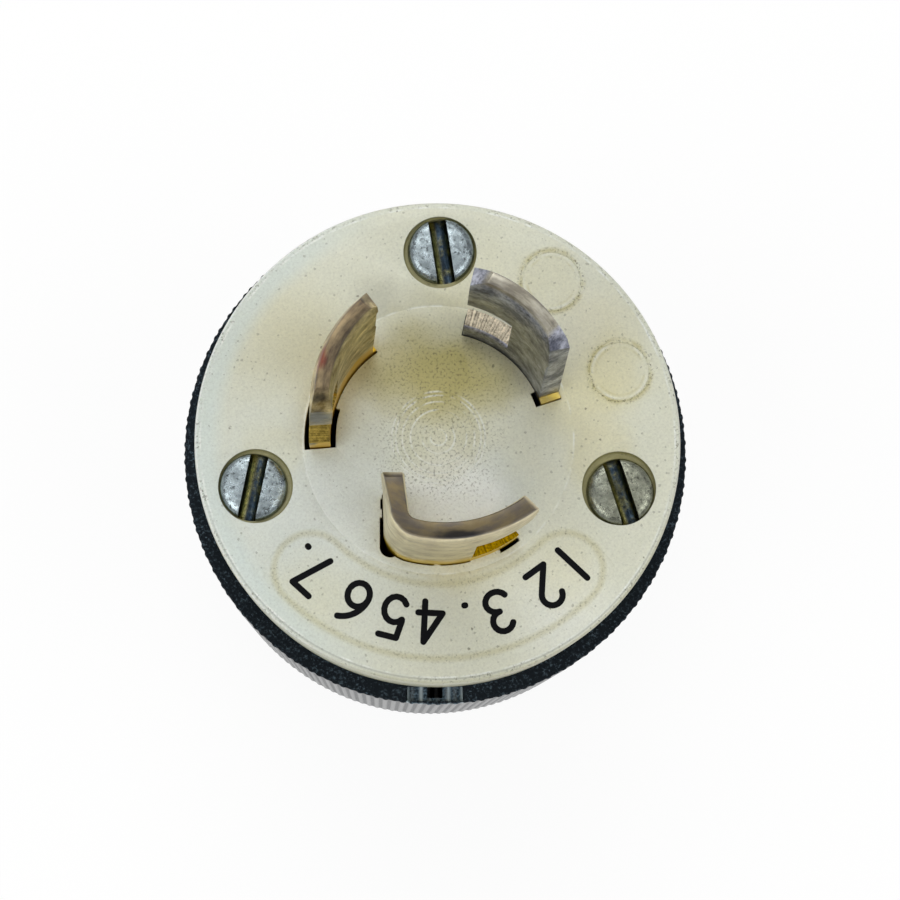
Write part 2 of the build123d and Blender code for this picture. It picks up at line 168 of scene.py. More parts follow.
class PlugColours(bpy.types.PropertyGroup):
    """Colours of the plug's finishes."""
    cream: tint("Cream", "Aged natural nylon of the front body", "#D8D9C5")
    cream_cool: tint("Cool cream", "Cleaner nylon towards the lower left", "#D5DBD2")
    rim_cool: tint("Cool rim", "Bluish nylon along the left of the rim", "#D1DCD6")
    # The rubbed colour is painted highlight on the rings, the face's edge and the witness line, and painted
    # light on patches where the blades shade the face
    rubbed: tint("Rubbed", "Nylon rubbed pale on the ring lines", "#F0F3EC")
    # The stain colour is real olive soiling, and also painted shade on the rim's lower side and, in part,
    # between the poles
    stain: tint("Stain", "Olive soiling between the poles", "#B0A65E")
    yellowing: tint("Yellowing", "Yellowed nylon beside the slots", "#D6D0A6")
    speck: tint("Speck", "Dark dirt pressed into the face", "#4E4A30")
    black: tint("Black", "Navy black nylon of the housing", "#0A151D")
    dust: tint("Dust", "Blue-grey dust in the rough black", "#6A7E8B")
    brass: tint("Brass", "Plain brass of the terminal parts", "#C2A24A")
    zinc: tint("Zinc", "Zinc plating of the screws", "#AEBBBF")
    zinc_aged: tint("Aged zinc", "Zinc dulled olive on the right", "#9A997C")
    # The slot colour is painted shade low in the screws' slots, and the grime colour is also painted light on
    # the slot's wall that faces right
    slot: tint("Slot", "Dark grime in the screws' slots", "#22313F")
    grime: tint("Grime", "Olive grime in the screws' slots and gaps", "#8B8444")
    # The ink colour also paints the shade deep inside the blade slots
    ink: tint("Ink", "Black fill of the numerals", "#0C0D10")
    floor: tint("Floor", "Pale floor", "#F4F4F2")


def millimetres(group):
    """A group's lengths in millimetres."""
    return SimpleNamespace(**{key: getattr(group, key) / MM for key in group.__annotations__})


# Modelling steps


def deselect_all():
    """Leaves edit mode and deselects everything."""
    if bpy.context.object and bpy.context.object.mode != "OBJECT":
        bpy.ops.object.mode_set(mode="OBJECT")
    bpy.ops.object.select_all(action="DESELECT")


def select_only(piece):
    """Makes a piece the only selected and the active one, in object mode."""
    deselect_all()
    piece.select_set(True)
    bpy.context.view_layer.objects.active = piece


def begin(name, primitive, **settings):
    """Adds a primitive with nothing else selected and opens it in edit mode, selected all over."""
    deselect_all()
    primitive(**settings)
    piece = bpy.context.object
    piece.name = name
    bpy.ops.object.mode_set(mode="EDIT")
    bpy.ops.mesh.select_mode(type="VERT")
    bpy.ops.mesh.select_all(action="SELECT")
    return piece


def pick(kind, test, keep=False):
    """Selects the elements of the open mesh that pass a test; with keep, only among those selected now."""
    mesh = bpy.context.edit_object.data
    bpy.ops.mesh.select_mode(type=kind)
    made = bmesh.from_edit_mesh(mesh)
    elements = {"VERT": made.verts, "EDGE": made.edges, "FACE": made.faces}[kind]
    chosen = [e for e in elements if (e.select or not keep) and test(e)]
    bpy.ops.mesh.select_all(action="DESELECT")
    for element in chosen:
        element.select_set(True)
    made.select_flush_mode()
    bmesh.update_edit_mesh(mesh)
    if not chosen:
        raise RuntimeError(f"nothing to select on {bpy.context.edit_object.name}")


def tidy_mesh():
    """Merges doubles of the open mesh, turns its faces outwards and leaves edit mode."""
    bpy.ops.mesh.select_all(action="SELECT")
    bpy.ops.mesh.remove_doubles(threshold=NEAR)
    bpy.ops.mesh.normals_make_consistent(inside=False)
    bpy.ops.object.mode_set(mode="OBJECT")


@contextmanager
def editing(piece):
    """Opens a piece alone in edit mode, and leaves edit mode afterwards."""
    select_only(piece)
    bpy.ops.object.mode_set(mode="EDIT")
    yield
    bpy.ops.object.mode_set(mode="OBJECT")


def bevel_edges(piece, test, width, segments):
    """Rounds those edges of a piece that pass a test."""
    with editing(piece):
        pick("EDGE", test)
        bpy.ops.mesh.bevel(offset=width, segments=segments, affect="EDGES")


def apply_modifiers(piece):
    """Applies a piece's modifiers in order."""
    select_only(piece)
    for modifier in list(piece.modifiers):
        bpy.ops.object.modifier_apply(modifier=modifier.name)


def combine(piece, other, operation="DIFFERENCE"):
    """Cuts a piece with another, or joins the two, and removes the other."""
    modifier = piece.modifiers.new("combine", "BOOLEAN")
    modifier.operation = operation
    modifier.solver = "EXACT"
    modifier.object = other
    apply_modifiers(piece)
    bpy.data.objects.remove(other)


def break_edges(piece, width, segments=2, angle=math.radians(38)):
    """Rounds a piece's sharp edges."""
    modifier = piece.modifiers.new("break_edges", "BEVEL")
    modifier.width = width
    modifier.segments = segments
    modifier.limit_method = "ANGLE"
    modifier.angle_limit = angle
    modifier.miter_outer = "MITER_ARC"
    apply_modifiers(piece)


def join(name, pieces):
    """Joins pieces into the first and names the result."""
    select_only(pieces[0])
    for piece in pieces:
        piece.select_set(True)
    bpy.ops.object.join()
    pieces[0].name = name
    return pieces[0]


def lathe(name, profile, segments, capped=True):
    """Turned piece: a circle drawn along a profile of radii and heights, then capped or closed on itself."""
    radius, height = profile[0]
    piece = begin(name, bpy.ops.mesh.primitive_circle_add, vertices=segments, radius=radius)
    bpy.ops.transform.translate(value=(0, 0, height))
    path = profile if capped else [*profile, profile[0]]
    for (r0, z0), (r1, z1) in zip(path, path[1:]):
        bpy.ops.mesh.extrude_edges_move(TRANSFORM_OT_translate={"value": (0, 0, z1 - z0)})
        bpy.ops.transform.resize(value=(r1 / r0, r1 / r0, 1), center_override=(0, 0, 0))
    if capped:
        bpy.ops.mesh.edge_face_add()
        pick("VERT", lambda v: abs(v.co.z - height) < NEAR and abs(v.co.xy.length - radius) < NEAR)
        bpy.ops.mesh.edge_face_add()
    tidy_mesh()
    return piece


def block(name, low, high):
    """Box between two corners, from a cube that is scaled and moved in edit mode."""
    low, high = Vector(low), Vector(high)
    piece = begin(name, bpy.ops.mesh.primitive_cube_add, size=1)
    bpy.ops.transform.resize(value=high - low, center_override=(0, 0, 0))
    bpy.ops.transform.translate(value=(low + high) / 2)
    bpy.ops.object.mode_set(mode="OBJECT")
    return piece


def place(piece, angle=0.0, offset=(0, 0, 0)):
    """Turns a piece about the axis, moves it and applies both to its mesh."""
    select_only(piece)
    piece.rotation_euler.z = angle
    piece.location = offset
    bpy.ops.object.transform_apply(location=True, rotation=True, scale=True)
    return piece


def copy_of(piece, name):
    """Copy of a piece with its own mesh."""
    select_only(piece)
    bpy.ops.object.duplicate()
    made = bpy.context.object
    made.name = name
    return made


# Turn of one step of a spin, and the sharpest angle between faces that are shaded as one
SPIN_STEP, SMOOTH_ANGLE = math.radians(3), math.radians(32)


def strip(name, start, levels, moves, stays=None):
    """Strip of sheet: an upright section, stacked from levels of height and thickness, drawn out along moves.

    A move is a shift, or a centre with an angle to turn by. stays holds tests by the numbers of moves: only
    the faces whose height passes a move's test go on with it.
    """
    x, y = start
    (z0, t0), (z1, _) = levels[:2]
    piece = begin(name, bpy.ops.mesh.primitive_plane_add, size=1)
    bpy.ops.transform.rotate(value=math.pi / 2, orient_axis="X", center_override=(0, 0, 0))
    bpy.ops.transform.resize(value=(t0, 1, z1 - z0), center_override=(0, 0, 0))
    bpy.ops.transform.translate(value=(x, y, (z0 + z1) / 2))
    for (z0, t0), (z1, t1) in zip(levels[1:], levels[2:]):
        pick("EDGE", lambda e: all(abs(v.co.z - z0) < NEAR for v in e.verts))
        bpy.ops.mesh.extrude_edges_move(TRANSFORM_OT_translate={"value": (0, 0, z1 - z0)})
        bpy.ops.transform.resize(value=(t1 / t0, 1, 1), center_override=(x, y, z1))
    bpy.ops.mesh.select_mode(type="FACE")
    bpy.ops.mesh.select_all(action="SELECT")
    for number, move in enumerate(moves):
        if stays and number in stays:
            pick("FACE", lambda f: stays[number](f.calc_center_median().z), keep=True)
        if len(move) == 3:
            bpy.ops.mesh.extrude_region_move(TRANSFORM_OT_translate={"value": move})
        else:
            centre, angle = move
            # With no window a spin turns clockwise for a positive angle
            steps = max(1, round(abs(angle) / SPIN_STEP))
            bpy.ops.mesh.spin(steps=steps, angle=-angle, center=(*centre, 0), axis=(0, 0, 1))
    tidy_mesh()
    return piece


def finish(piece, materials, node):
    """Brings a piece to metres, shades it, adds the materials that it lacks and ties it to the frame."""
    select_only(piece)
    piece.scale = (MM, MM, MM)
    bpy.ops.object.transform_apply(location=True, rotation=True, scale=True)
    bpy.ops.object.shade_smooth_by_angle(angle=SMOOTH_ANGLE)
    for material in materials[len(piece.data.materials):]:
        piece.data.materials.append(material)
    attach(piece, "root")
    if node:
        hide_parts(node)


# Materials


def wire(made, inputs):
    """Sets a node's inputs to values, colours without their alpha, or links them to sockets or nodes."""
    for key, value in inputs.items():
        if isinstance(value, bpy.types.Node):
            value = next(s for s in value.outputs if s.enabled)
        socket = made.inputs[key]
        if isinstance(value, bpy.types.NodeSocket):
            made.id_data.links.new(value, socket)
        else:
            socket.default_value = (*value[:3], 1.0) if socket.type == "RGBA" else value


def add_node(tree, kind, inputs=None, stops=None, **settings):
    """Adds a shader node with its settings, its inputs and, for a ramp, its stops."""
    made = tree.nodes.new(f"ShaderNode{kind}")
    for key, value in settings.items():
        setattr(made, key, value)
    wire(made, inputs or {})
    if stops:
        ramp = made.color_ramp
        while len(ramp.elements) < len(stops):
            ramp.elements.new(1.0)
        for element, (position, colour) in zip(ramp.elements, stops):
            element.position = position
            element.color = colour
    return made


def begin_material(name):
    """New material with the function that adds to its tree, its shader and the object coordinates."""
    material = bpy.data.materials.new(name)
    material.use_nodes = True
    node = partial(add_node, material.node_tree)
    shader = material.node_tree.nodes["Principled BSDF"]
    return material, node, shader, node("TexCoord").outputs["Object"]


def per(size):
    """Texture scale at which a pattern repeats about every size, in millimetres."""
    return 1 / (size * MM)


def lay(node, under, over, *amounts):
    """Lays a colour over another by the product of some amounts."""
    share, *others = amounts
    for amount in others:
        share = node("Math", {0: amount, 1: share}, operation="MULTIPLY")
    return node("Mix", {0: share, 6: under, 7: over}, data_type="RGBA")


def away(node, source, x, y, squash=1.0):
    """Distance across the plug from a point, with distances upwards counted squash times."""
    shift = node("VectorMath", {0: source, 1: (x * MM, y * MM, 0)}, operation="SUBTRACT")
    flat = node("VectorMath", {0: shift, 1: (1, squash, 0)}, operation="MULTIPLY")
    return node("VectorMath", {0: flat}, operation="LENGTH")


def spot(node, source, x, y, inner, outer, squash=1.0):
    """One inside a radius about a point, falling to zero at a larger one."""
    return node("MapRange", {0: away(node, source, x, y, squash), 1: outer * MM, 2: inner * MM},
                interpolation_type="SMOOTHSTEP")


def line(node, distance, radius, width):
    """One where a distance is a radius, falling to zero on both sides of it."""
    off = node("Math", {0: distance, 1: radius}, operation="SUBTRACT")
    off = node("Math", {0: off}, operation="ABSOLUTE")
    return node("MapRange", {0: off, 1: width * MM, 2: 0.2 * width * MM})


def shifted(node, at, noise, reach):
    """Coordinates moved about by a noise."""
    shift = node("VectorMath", {0: noise.outputs["Color"], 1: (0.5, 0.5, 0.5)}, operation="SUBTRACT")
    drift = node("VectorMath", {0: shift, 3: reach * MM}, operation="SCALE")
    return node("VectorMath", {0: at, 1: drift})


# Colours of a mask's ramp
OFF, ON = (0, 0, 0, 1), (1, 1, 1, 1)
# Soft patches on the face: tone, middle, radii between which they fade, squash and share
PATCHES = (
    ("cream_cool", -9, -6, 2, 15, 1, 0.9), ("cream_cool", 3.5, -4.5, 1, 5, 1, 0.9),
    # The rubbed patch at (1.0, -5.2) is painted light: it brightens the face inside the ground blade's bend,
    # where the blades shade it
    ("rubbed", 1.0, -5.2, 2.5, 5.5, 1, 1.0), ("rubbed", -6.5, -5.5, 1, 6, 1, 0.3),
    ("yellowing", -11.0, 7.5, 0.5, 6.5, 1, 0.45), ("yellowing", 10.7, 3.6, 1, 5.5, 1, 0.7),
    # The rubbed patch at (11.0, 8.4) is painted light over the soft shadow beside the line blade
    ("rubbed", 11.0, 8.4, 0.5, 4.6, 1, 0.75), ("yellowing", 11.6, 8.2, 1, 5, 1, 0.6),
    ("yellowing", 13.3, 5.2, 1.2, 4, 1, 0.5), ("yellowing", 8.4, 11.8, 1.2, 3.6, 1, 0.3),
    # The speck patch at (-4.5, 10.7) darkens the face beside the neutral blade's upper end
    ("rubbed", 9.4, -13.2, 1, 6, 1, 0.4), ("speck", -4.5, 10.7, 0.3, 2.4, 1, 0.2),
    ("stain", -2.9, 7.5, 0.5, 3.2, 1, 0.4), ("yellowing", 1.5, -10.2, 0.5, 3.5, 1.6, 0.35),
    ("yellowing", 12.3, -1.6, 1.6, 3.6, 1, 0.5), ("yellowing", -12.6, -1.2, 1.4, 3.2, 1, 0.25),
    ("yellowing", 3.0, 12.0, 1, 6, 1, 0.25), ("yellowing", -9.5, -12.0, 1, 5, 1, 0.3),
    # The stain patch at (0.3, 5.0) is olive soiling and, in part, painted shade between the poles
    ("yellowing", 9.5, -10.0, 1, 4, 1, 0.3), ("stain", 0.3, 5.0, 1.5, 7.8, 1.6, 0.9),
    ("stain", 4.6, 4.4, 0.5, 3.6, 1.2, 0.35), ("stain", -4.4, 4.9, 0.5, 3.0, 1, 0.3),
    ("stain", 0.5, 9.2, 1, 5.5, 1, 0.2), ("stain", 0, 0.2, 2.6, 4.2, 1, 0.22),
)
# Two sizes of specks: their spacing and largest radius, the share of them left out and their strength
SPECKS = ((0.5, 0.1, 0.0, 0.35), (1.4, 0.13, 0.5, 0.6))


def face_masks(node, at, scene):
    """What the layers of wear and of painted light and shade on the face share: coordinates, masks, sizes and
    colours.
    """
    broken = node("TexNoise", {"Vector": at, "Scale": per(1.1), "Detail": 3.0})
    pepper = node("TexNoise", {"Vector": at, "Scale": per(0.2), "Detail": 3.0, "Roughness": 0.65})
    x, y, z = node("SeparateXYZ", {0: at}).outputs
    return SimpleNamespace(
        node=node, at=at, x=x, y=y, z=z, centre=away(node, at, 0, 0), sizes=scene.plug_lengths,
        colours=scene.plug_colours, peppered=node("MapRange", {0: pepper, 1: 0.53, 2: 0.64}),
        parts=node("MapRange", {0: broken, 1: 0.42, 2: 0.62}),
        scraped=node("MapRange", {0: broken, 1: 0.38, 2: 0.55}),
        left=node("MapRange", {0: x, 1: -3 * MM, 2: -12 * MM}, interpolation_type="SMOOTHSTEP"),
        lower=node("MapRange", {0: y, 1: -3 * MM, 2: -9 * MM}))


def tint_rim(face, colour):
    """Tints the rim bluish on the left, and paints shade on its lower side where it drops to the ledge."""
    node, rim = face.node, face.sizes.face_radius
    outer = node("MapRange", {0: face.centre, 1: 15.7 * MM, 2: 17.3 * MM}, interpolation_type="SMOOTHSTEP")
    colour = lay(node, colour, face.colours.rim_cool, 0.7, outer, face.left)
    # Painted shade on the rim's lower side, where its rounding drops to the ledge
    wall = node("MapRange", {0: face.centre, 1: rim - 0.3 * MM, 2: rim - 0.1 * MM})
    return lay(node, colour, face.colours.stain, 0.45, face.lower, wall)


def darken_hollows(face, colour):
    """Paints shade deep inside the slots with the ink colour, and rings the screws' heads with grime."""
    node, top = face.node, face.sizes.face_height
    # Painted shade: the slots are darkened below the face with the ink colour
    deep = node("MapRange", {0: face.z, 1: top - 0.25 * MM, 2: top - 0.9 * MM})
    within = node("MapRange", {0: face.centre, 1: 11.2 * MM, 2: 10.9 * MM})
    colour = lay(node, colour, face.colours.ink, 0.94, deep, within)
    sunk = node("MapRange", {0: face.z, 1: top - 0.1 * MM, 2: top - 0.2 * MM})
    for _, where, _, _ in SCREWS:
        near = node("MapRange", {0: away(node, face.at, *where), 1: 3.2 * MM, 2: 3.0 * MM})
        colour = lay(node, colour, face.colours.grime, 0.85, sunk, near)
    return colour


def rub_rings(face, colour):
    """Paints highlights along the raised rings, with dirt beside those at the upper right."""
    node, colours, reach = face.node, face.colours, CENTRE_RINGS[-1] + 0.5
    middle = node("Math", {0: away(node, face.at, 0, CENTRE_SHIFT), 1: reach * MM}, operation="DIVIDE")
    stops = [(r / reach + d, OFF if d else ON) for r in CENTRE_RINGS for d in (-0.028, 0, 0.028)]
    lines = node("ValToRGB", {0: middle}, stops=stops)
    # Painted highlights: pale lines along the middle rings
    colour = lay(node, colour, colours.rubbed, 0.8, lines, face.scraped)
    for x, y, radius in FACE_RINGS:
        apart = away(node, face.at, x, y)
        for tone, share, offset, width, mask in (
                # The first, pale line just inside each ring is a painted highlight; the others are dirt
                (colours.rubbed, 0.6, -0.13, 0.16, face.parts),
                (colours.stain, 0.5, 0.08, 0.34, face.scraped),
                (colours.speck, 0.7, 0.1, 0.3, face.peppered),
                (colours.stain, 0.3, -0.42, 0.12, face.parts)):
            colour = lay(node, colour, tone, share, line(node, apart, (radius + offset) * MM, width), mask)
    return colour


def rub_rim(face, colour):
    """Paints highlights on the face's edge and on the witness line in places, with dirt and a dark line along
    the edge.
    """
    node, colours, rim = face.node, face.colours, face.sizes.face_radius
    edge = rim - face.sizes.face_edge
    skirt = node("MapRange", {0: face.centre, 1: edge - 0.1 * MM, 2: edge})
    colour = lay(node, colour, colours.cream_cool, 0.25, skirt)
    # The rubbed lines are painted highlights on the edge, on the rim's left side and on the witness line; the
    # speck lines are a dark line along the lower edge and dirt
    for tone, share, radius, width, *masks in (
            (colours.rubbed, 0.7, edge, 0.11, face.parts),
            (colours.speck, 0.3, edge + 0.12 * MM, 0.1, face.lower),
            (colours.rubbed, 0.9, rim - 0.12 * MM, 0.1, face.left),
            (colours.speck, 0.8, edge + 0.2 * MM, 0.3, face.parts, face.peppered),
            (colours.rubbed, 0.55, WITNESS_RADIUS * MM, 0.11, face.parts)):
        colour = lay(node, colour, tone, share, line(node, face.centre, radius, width), *masks)
    return colour


def soil_face(face, colour, wavy, arc):
    """Speckles the face with dirt round the pad, where it is soiled and, thinly, all over."""
    node, colours, radius, width = face.node, face.colours, face.sizes.pad_radius, face.sizes.pad_width
    across = node("Math", {0: face.x}, operation="ABSOLUTE")
    below = node("Math", {0: face.y, 1: -1.0}, operation="MULTIPLY")
    bearing = node("Math", {0: across, 1: below}, operation="ARCTAN2")
    half = arc / 2 - width / 2 / radius
    beside = node("Math", {0: bearing, 1: half}, operation="GREATER_THAN")
    band = node("Math", {0: face.centre, 1: radius}, operation="SUBTRACT")
    band = node("Math", {0: band}, operation="ABSOLUTE")
    mirrored = node("CombineXYZ", {0: across, 1: face.y})
    tip = away(node, mirrored, radius / MM * math.sin(half), -radius / MM * math.cos(half))
    outline = line(node, node("Mix", {0: beside, 2: band, 3: tip}), width / 2, 0.38)
    colour = lay(node, colour, colours.stain, 0.3, outline)
    colour = lay(node, colour, colours.speck, 0.3, outline, face.peppered)
    soiled = node("Math", {0: spot(node, wavy, 0.3, 4.5, 1.5, 8.2, 1.3), 1: spot(node, wavy, 0, 0, 3.4, 6.0)},
                  operation="MAXIMUM")
    soiled = node("MapRange", {0: soiled, 3: 0.1, 4: 0.55})
    return lay(node, colour, colours.speck, 1.0, soiled, face.peppered)


def cream_nylon(scene):
    """Natural nylon, moulded, aged and handled: satin, a little translucent, yellowed near the slots, soiled
    olive and partly painted with shade between the poles, painted with shade in its slots and on the rim's
    lower side, peppered with fine dark specks, and painted with highlights on its rings and rim and with
    light where the blades shade it."""
    material, node, shader, at = begin_material("cream_nylon_aged")
    face = face_masks(node, at, scene)
    cloud = node("TexNoise", {"Vector": at, "Scale": per(3.0), "Detail": 4.0})
    grain = node("TexNoise", {"Vector": at, "Scale": per(0.16), "Detail": 3.0})
    wavy = shifted(node, at, cloud, 2.4)
    colour = face.colours.cream
    for tone, x, y, inner, outer, squash, share in PATCHES:
        patch = spot(node, wavy, x, y, inner, outer, squash)
        colour = lay(node, colour, getattr(face.colours, tone), share, patch)
    for layer in (tint_rim, darken_hollows, rub_rings, rub_rim):
        colour = layer(face, colour)
    colour = soil_face(face, colour, wavy, scene.plug_angles.pad_arc)
    # Fine grain and ragged specks
    shade = node("MapRange", {0: grain, 1: 0.3, 2: 0.7, 3: 0.93, 4: 1.05})
    colour = node("Mix", {0: 1.0, 6: colour, 7: shade}, data_type="RGBA", blend_type="MULTIPLY")
    ragged = shifted(node, at, grain, 0.22)
    for cell, radius, share, strength in SPECKS:
        dots = node("TexVoronoi", {"Vector": ragged, "Scale": per(cell)})
        rare = node("SeparateColor", {0: dots.outputs["Color"]})
        reach = node("Math", {0: rare.outputs["Green"], 1: radius / cell}, operation="MULTIPLY")
        near = node("Math", {0: dots.outputs["Distance"], 1: reach}, operation="LESS_THAN")
        chosen = node("Math", {0: rare.outputs["Red"], 1: share}, operation="GREATER_THAN")
        colour = lay(node, colour, face.colours.speck, strength, near, chosen)
    rough = node("MapRange", {0: cloud, 1: 0.2, 2: 0.8, 3: 0.3, 4: 0.55})
    bump = node("Bump", {"Height": grain, "Strength": 0.12, "Distance": 0.03 * MM})
    wire(shader, {"Base Color": colour, "Roughness": rough, "Normal": bump, "IOR": 1.53,
                  "Subsurface Weight": 0.15, "Subsurface Radius": (1.0, 0.85, 0.55),
                  "Subsurface Scale": 1.2 * MM})
    return material


# How far the wear of the rim's notch reaches to each side of its middle, in mm
NOTCH_REACH = 2.25


def soil_notch(node, colour, colours, top, grit, at_x, at_y, at_z):
    """Lays dust in the rim's notch and pale lines across it."""
    over = node("Math", {0: at_x, 1: -NOTCH_MIDDLE * MM})
    over = node("Math", {0: over}, operation="ABSOLUTE")
    masks = (node("MapRange", {0: over, 1: NOTCH_REACH * MM, 2: (NOTCH_REACH - 0.1) * MM}),
             node("Math", {0: at_y, 1: -18 * MM}, operation="LESS_THAN"),
             node("MapRange", {0: at_z, 1: top - 0.9 * MM, 2: top - 0.75 * MM}),
             node("Math", {0: at_z, 1: top - 0.03 * MM}, operation="LESS_THAN"))
    dusty = node("MapRange", {0: grit, 1: 0.42, 2: 0.6, 3: 0.15, 4: 0.8})
    along = node("Math", {0: over, 1: NOTCH_REACH * MM}, operation="DIVIDE")
    pale = node("ValToRGB", {0: along},
                stops=[(0.38, OFF), (0.47, ON), (0.56, OFF), (0.84, OFF), (0.93, ON)])
    colour = lay(node, colour, colours.dust, dusty, *masks)
    return lay(node, colour, colours.zinc, pale, *masks)


def black_nylon(scene):
    """Black nylon with a coarse moulded grit: navy in the light, matt on top with blue-grey dust in its pits,
    rubbed glossy on the crests of the ribs and in the rim's notch."""
    material, node, shader, at = begin_material("black_nylon_grit")
    colours, top = scene.plug_colours, scene.plug_lengths.ledge_height
    at_x, at_y, at_z = node("SeparateXYZ", {0: at}).outputs
    grit = node("TexNoise", {"Vector": at, "Scale": per(0.2), "Detail": 4.0, "Roughness": 0.65})
    dusty = node("MapRange", {0: grit, 1: 0.53, 2: 0.68})
    patches = node("TexNoise", {"Vector": at, "Scale": per(2.5), "Detail": 2.0})
    amount = node("MapRange", {0: patches, 1: 0.32, 2: 0.68, 3: 0.22, 4: 0.65})
    colour = lay(node, colours.black, colours.dust, dusty, amount)
    colour = soil_notch(node, colour, colours, top, grit, at_x, at_y, at_z)
    # The crests of the ribs are rubbed, and the top of the rim is matt
    angle = node("Math", {0: at_y, 1: at_x}, operation="ARCTAN2")
    phase = node("Math", {0: angle, 1: scene.plug_angles.rib_count, 2: -math.pi / 4},
                 operation="MULTIPLY_ADD")
    crest = node("Math", {0: phase}, operation="COSINE")
    crest = node("MapRange", {0: crest, 1: -0.3, 2: 0.8, 3: 0.04, 4: 0.85})
    shoulder = scene.plug_lengths.neck_height + 5.4 * MM
    ribbed = node("MapRange", {0: at_z, 1: shoulder, 2: shoulder + 0.6 * MM})
    crest = node("Mix", {0: ribbed, 2: 0.3, 3: crest})
    rim = node("MapRange", {0: at_z, 1: top - 0.25 * MM, 2: top - 0.1 * MM})
    gloss = node("Mix", {0: rim, 2: crest, 3: 0.22})
    rough = node("MapRange", {0: rim, 3: 0.28, 4: 0.78})
    relief = node("MapRange", {0: rim, 3: 0.2, 4: 1.0})
    bump = node("Bump", {"Height": grit, "Strength": relief, "Distance": 0.15 * MM})
    wire(shader, {"Base Color": colour, "Roughness": rough, "Specular IOR Level": gloss, "Normal": bump,
                  "IOR": 1.53})
    return material


# Each blade's light and dark plating, light and dark tip, the brass at its root and on its punched floor,
# the root's height and the strengths of its streaks and pits
# The tip tones are partly painted reflection: each tip is toned for what it reflects, lighter on the line
# blade
FINISHES = {
    "line": ("#B7BAC6", "#646774", "#BDB8A5", "#857F70", "#D2B04C", "#CDC2AA", -3.0, 0.08, 0.5),
    "neutral": ("#DCCB98", "#8A784C", "#8C7B60", "#4A403C", "#E4BC40", "#94803E", 2.9, 0.3, 0.3),
    "ground": ("#EFE3BE", "#C6B999", "#746649", "#544E4A", "#DDBB18", "#9E7C04", 2.3, 0.06, 0.1),
}
# Rubbed, burnt or bare marks and painted reflections on each blade: colour, middle, reach and share
MARKS = {
    "line": [("#DEDBD4", (6.2, 6.5, 60.0), (0.8, 1.0, 1.6), 0.7),
             ("#DDC252", (8.6, 2.9, 50.1), (1.8, 1.2, 0.9), 0.85)],
    # The red mark on the neutral blade's tip is a painted reflection of a red thing nearby
    "neutral": [("#8E3A34", (-8.5, 3.4, 66.2), (0.7, 1.6, 0.9), 0.6),
                ("#4C4A44", (-8.6, -0.7, 63.0), (1.6, 0.6, 4.0), 0.95),
                ("#2E2A28", (-8.3, 0.3, 66.2), (1.1, 0.5, 0.9), 0.8),
                ("#5E5342", (-5.0, 7.6, 65.6), (1.1, 0.9, 1.6), 0.7)],
    # The blue-black mark on the ground blade's tip is a painted reflection of a dark thing overhead
    "ground": [("#23272F", (0.9, -9.0, 66.4), (2.3, 0.55, 0.6), 0.85)],
}


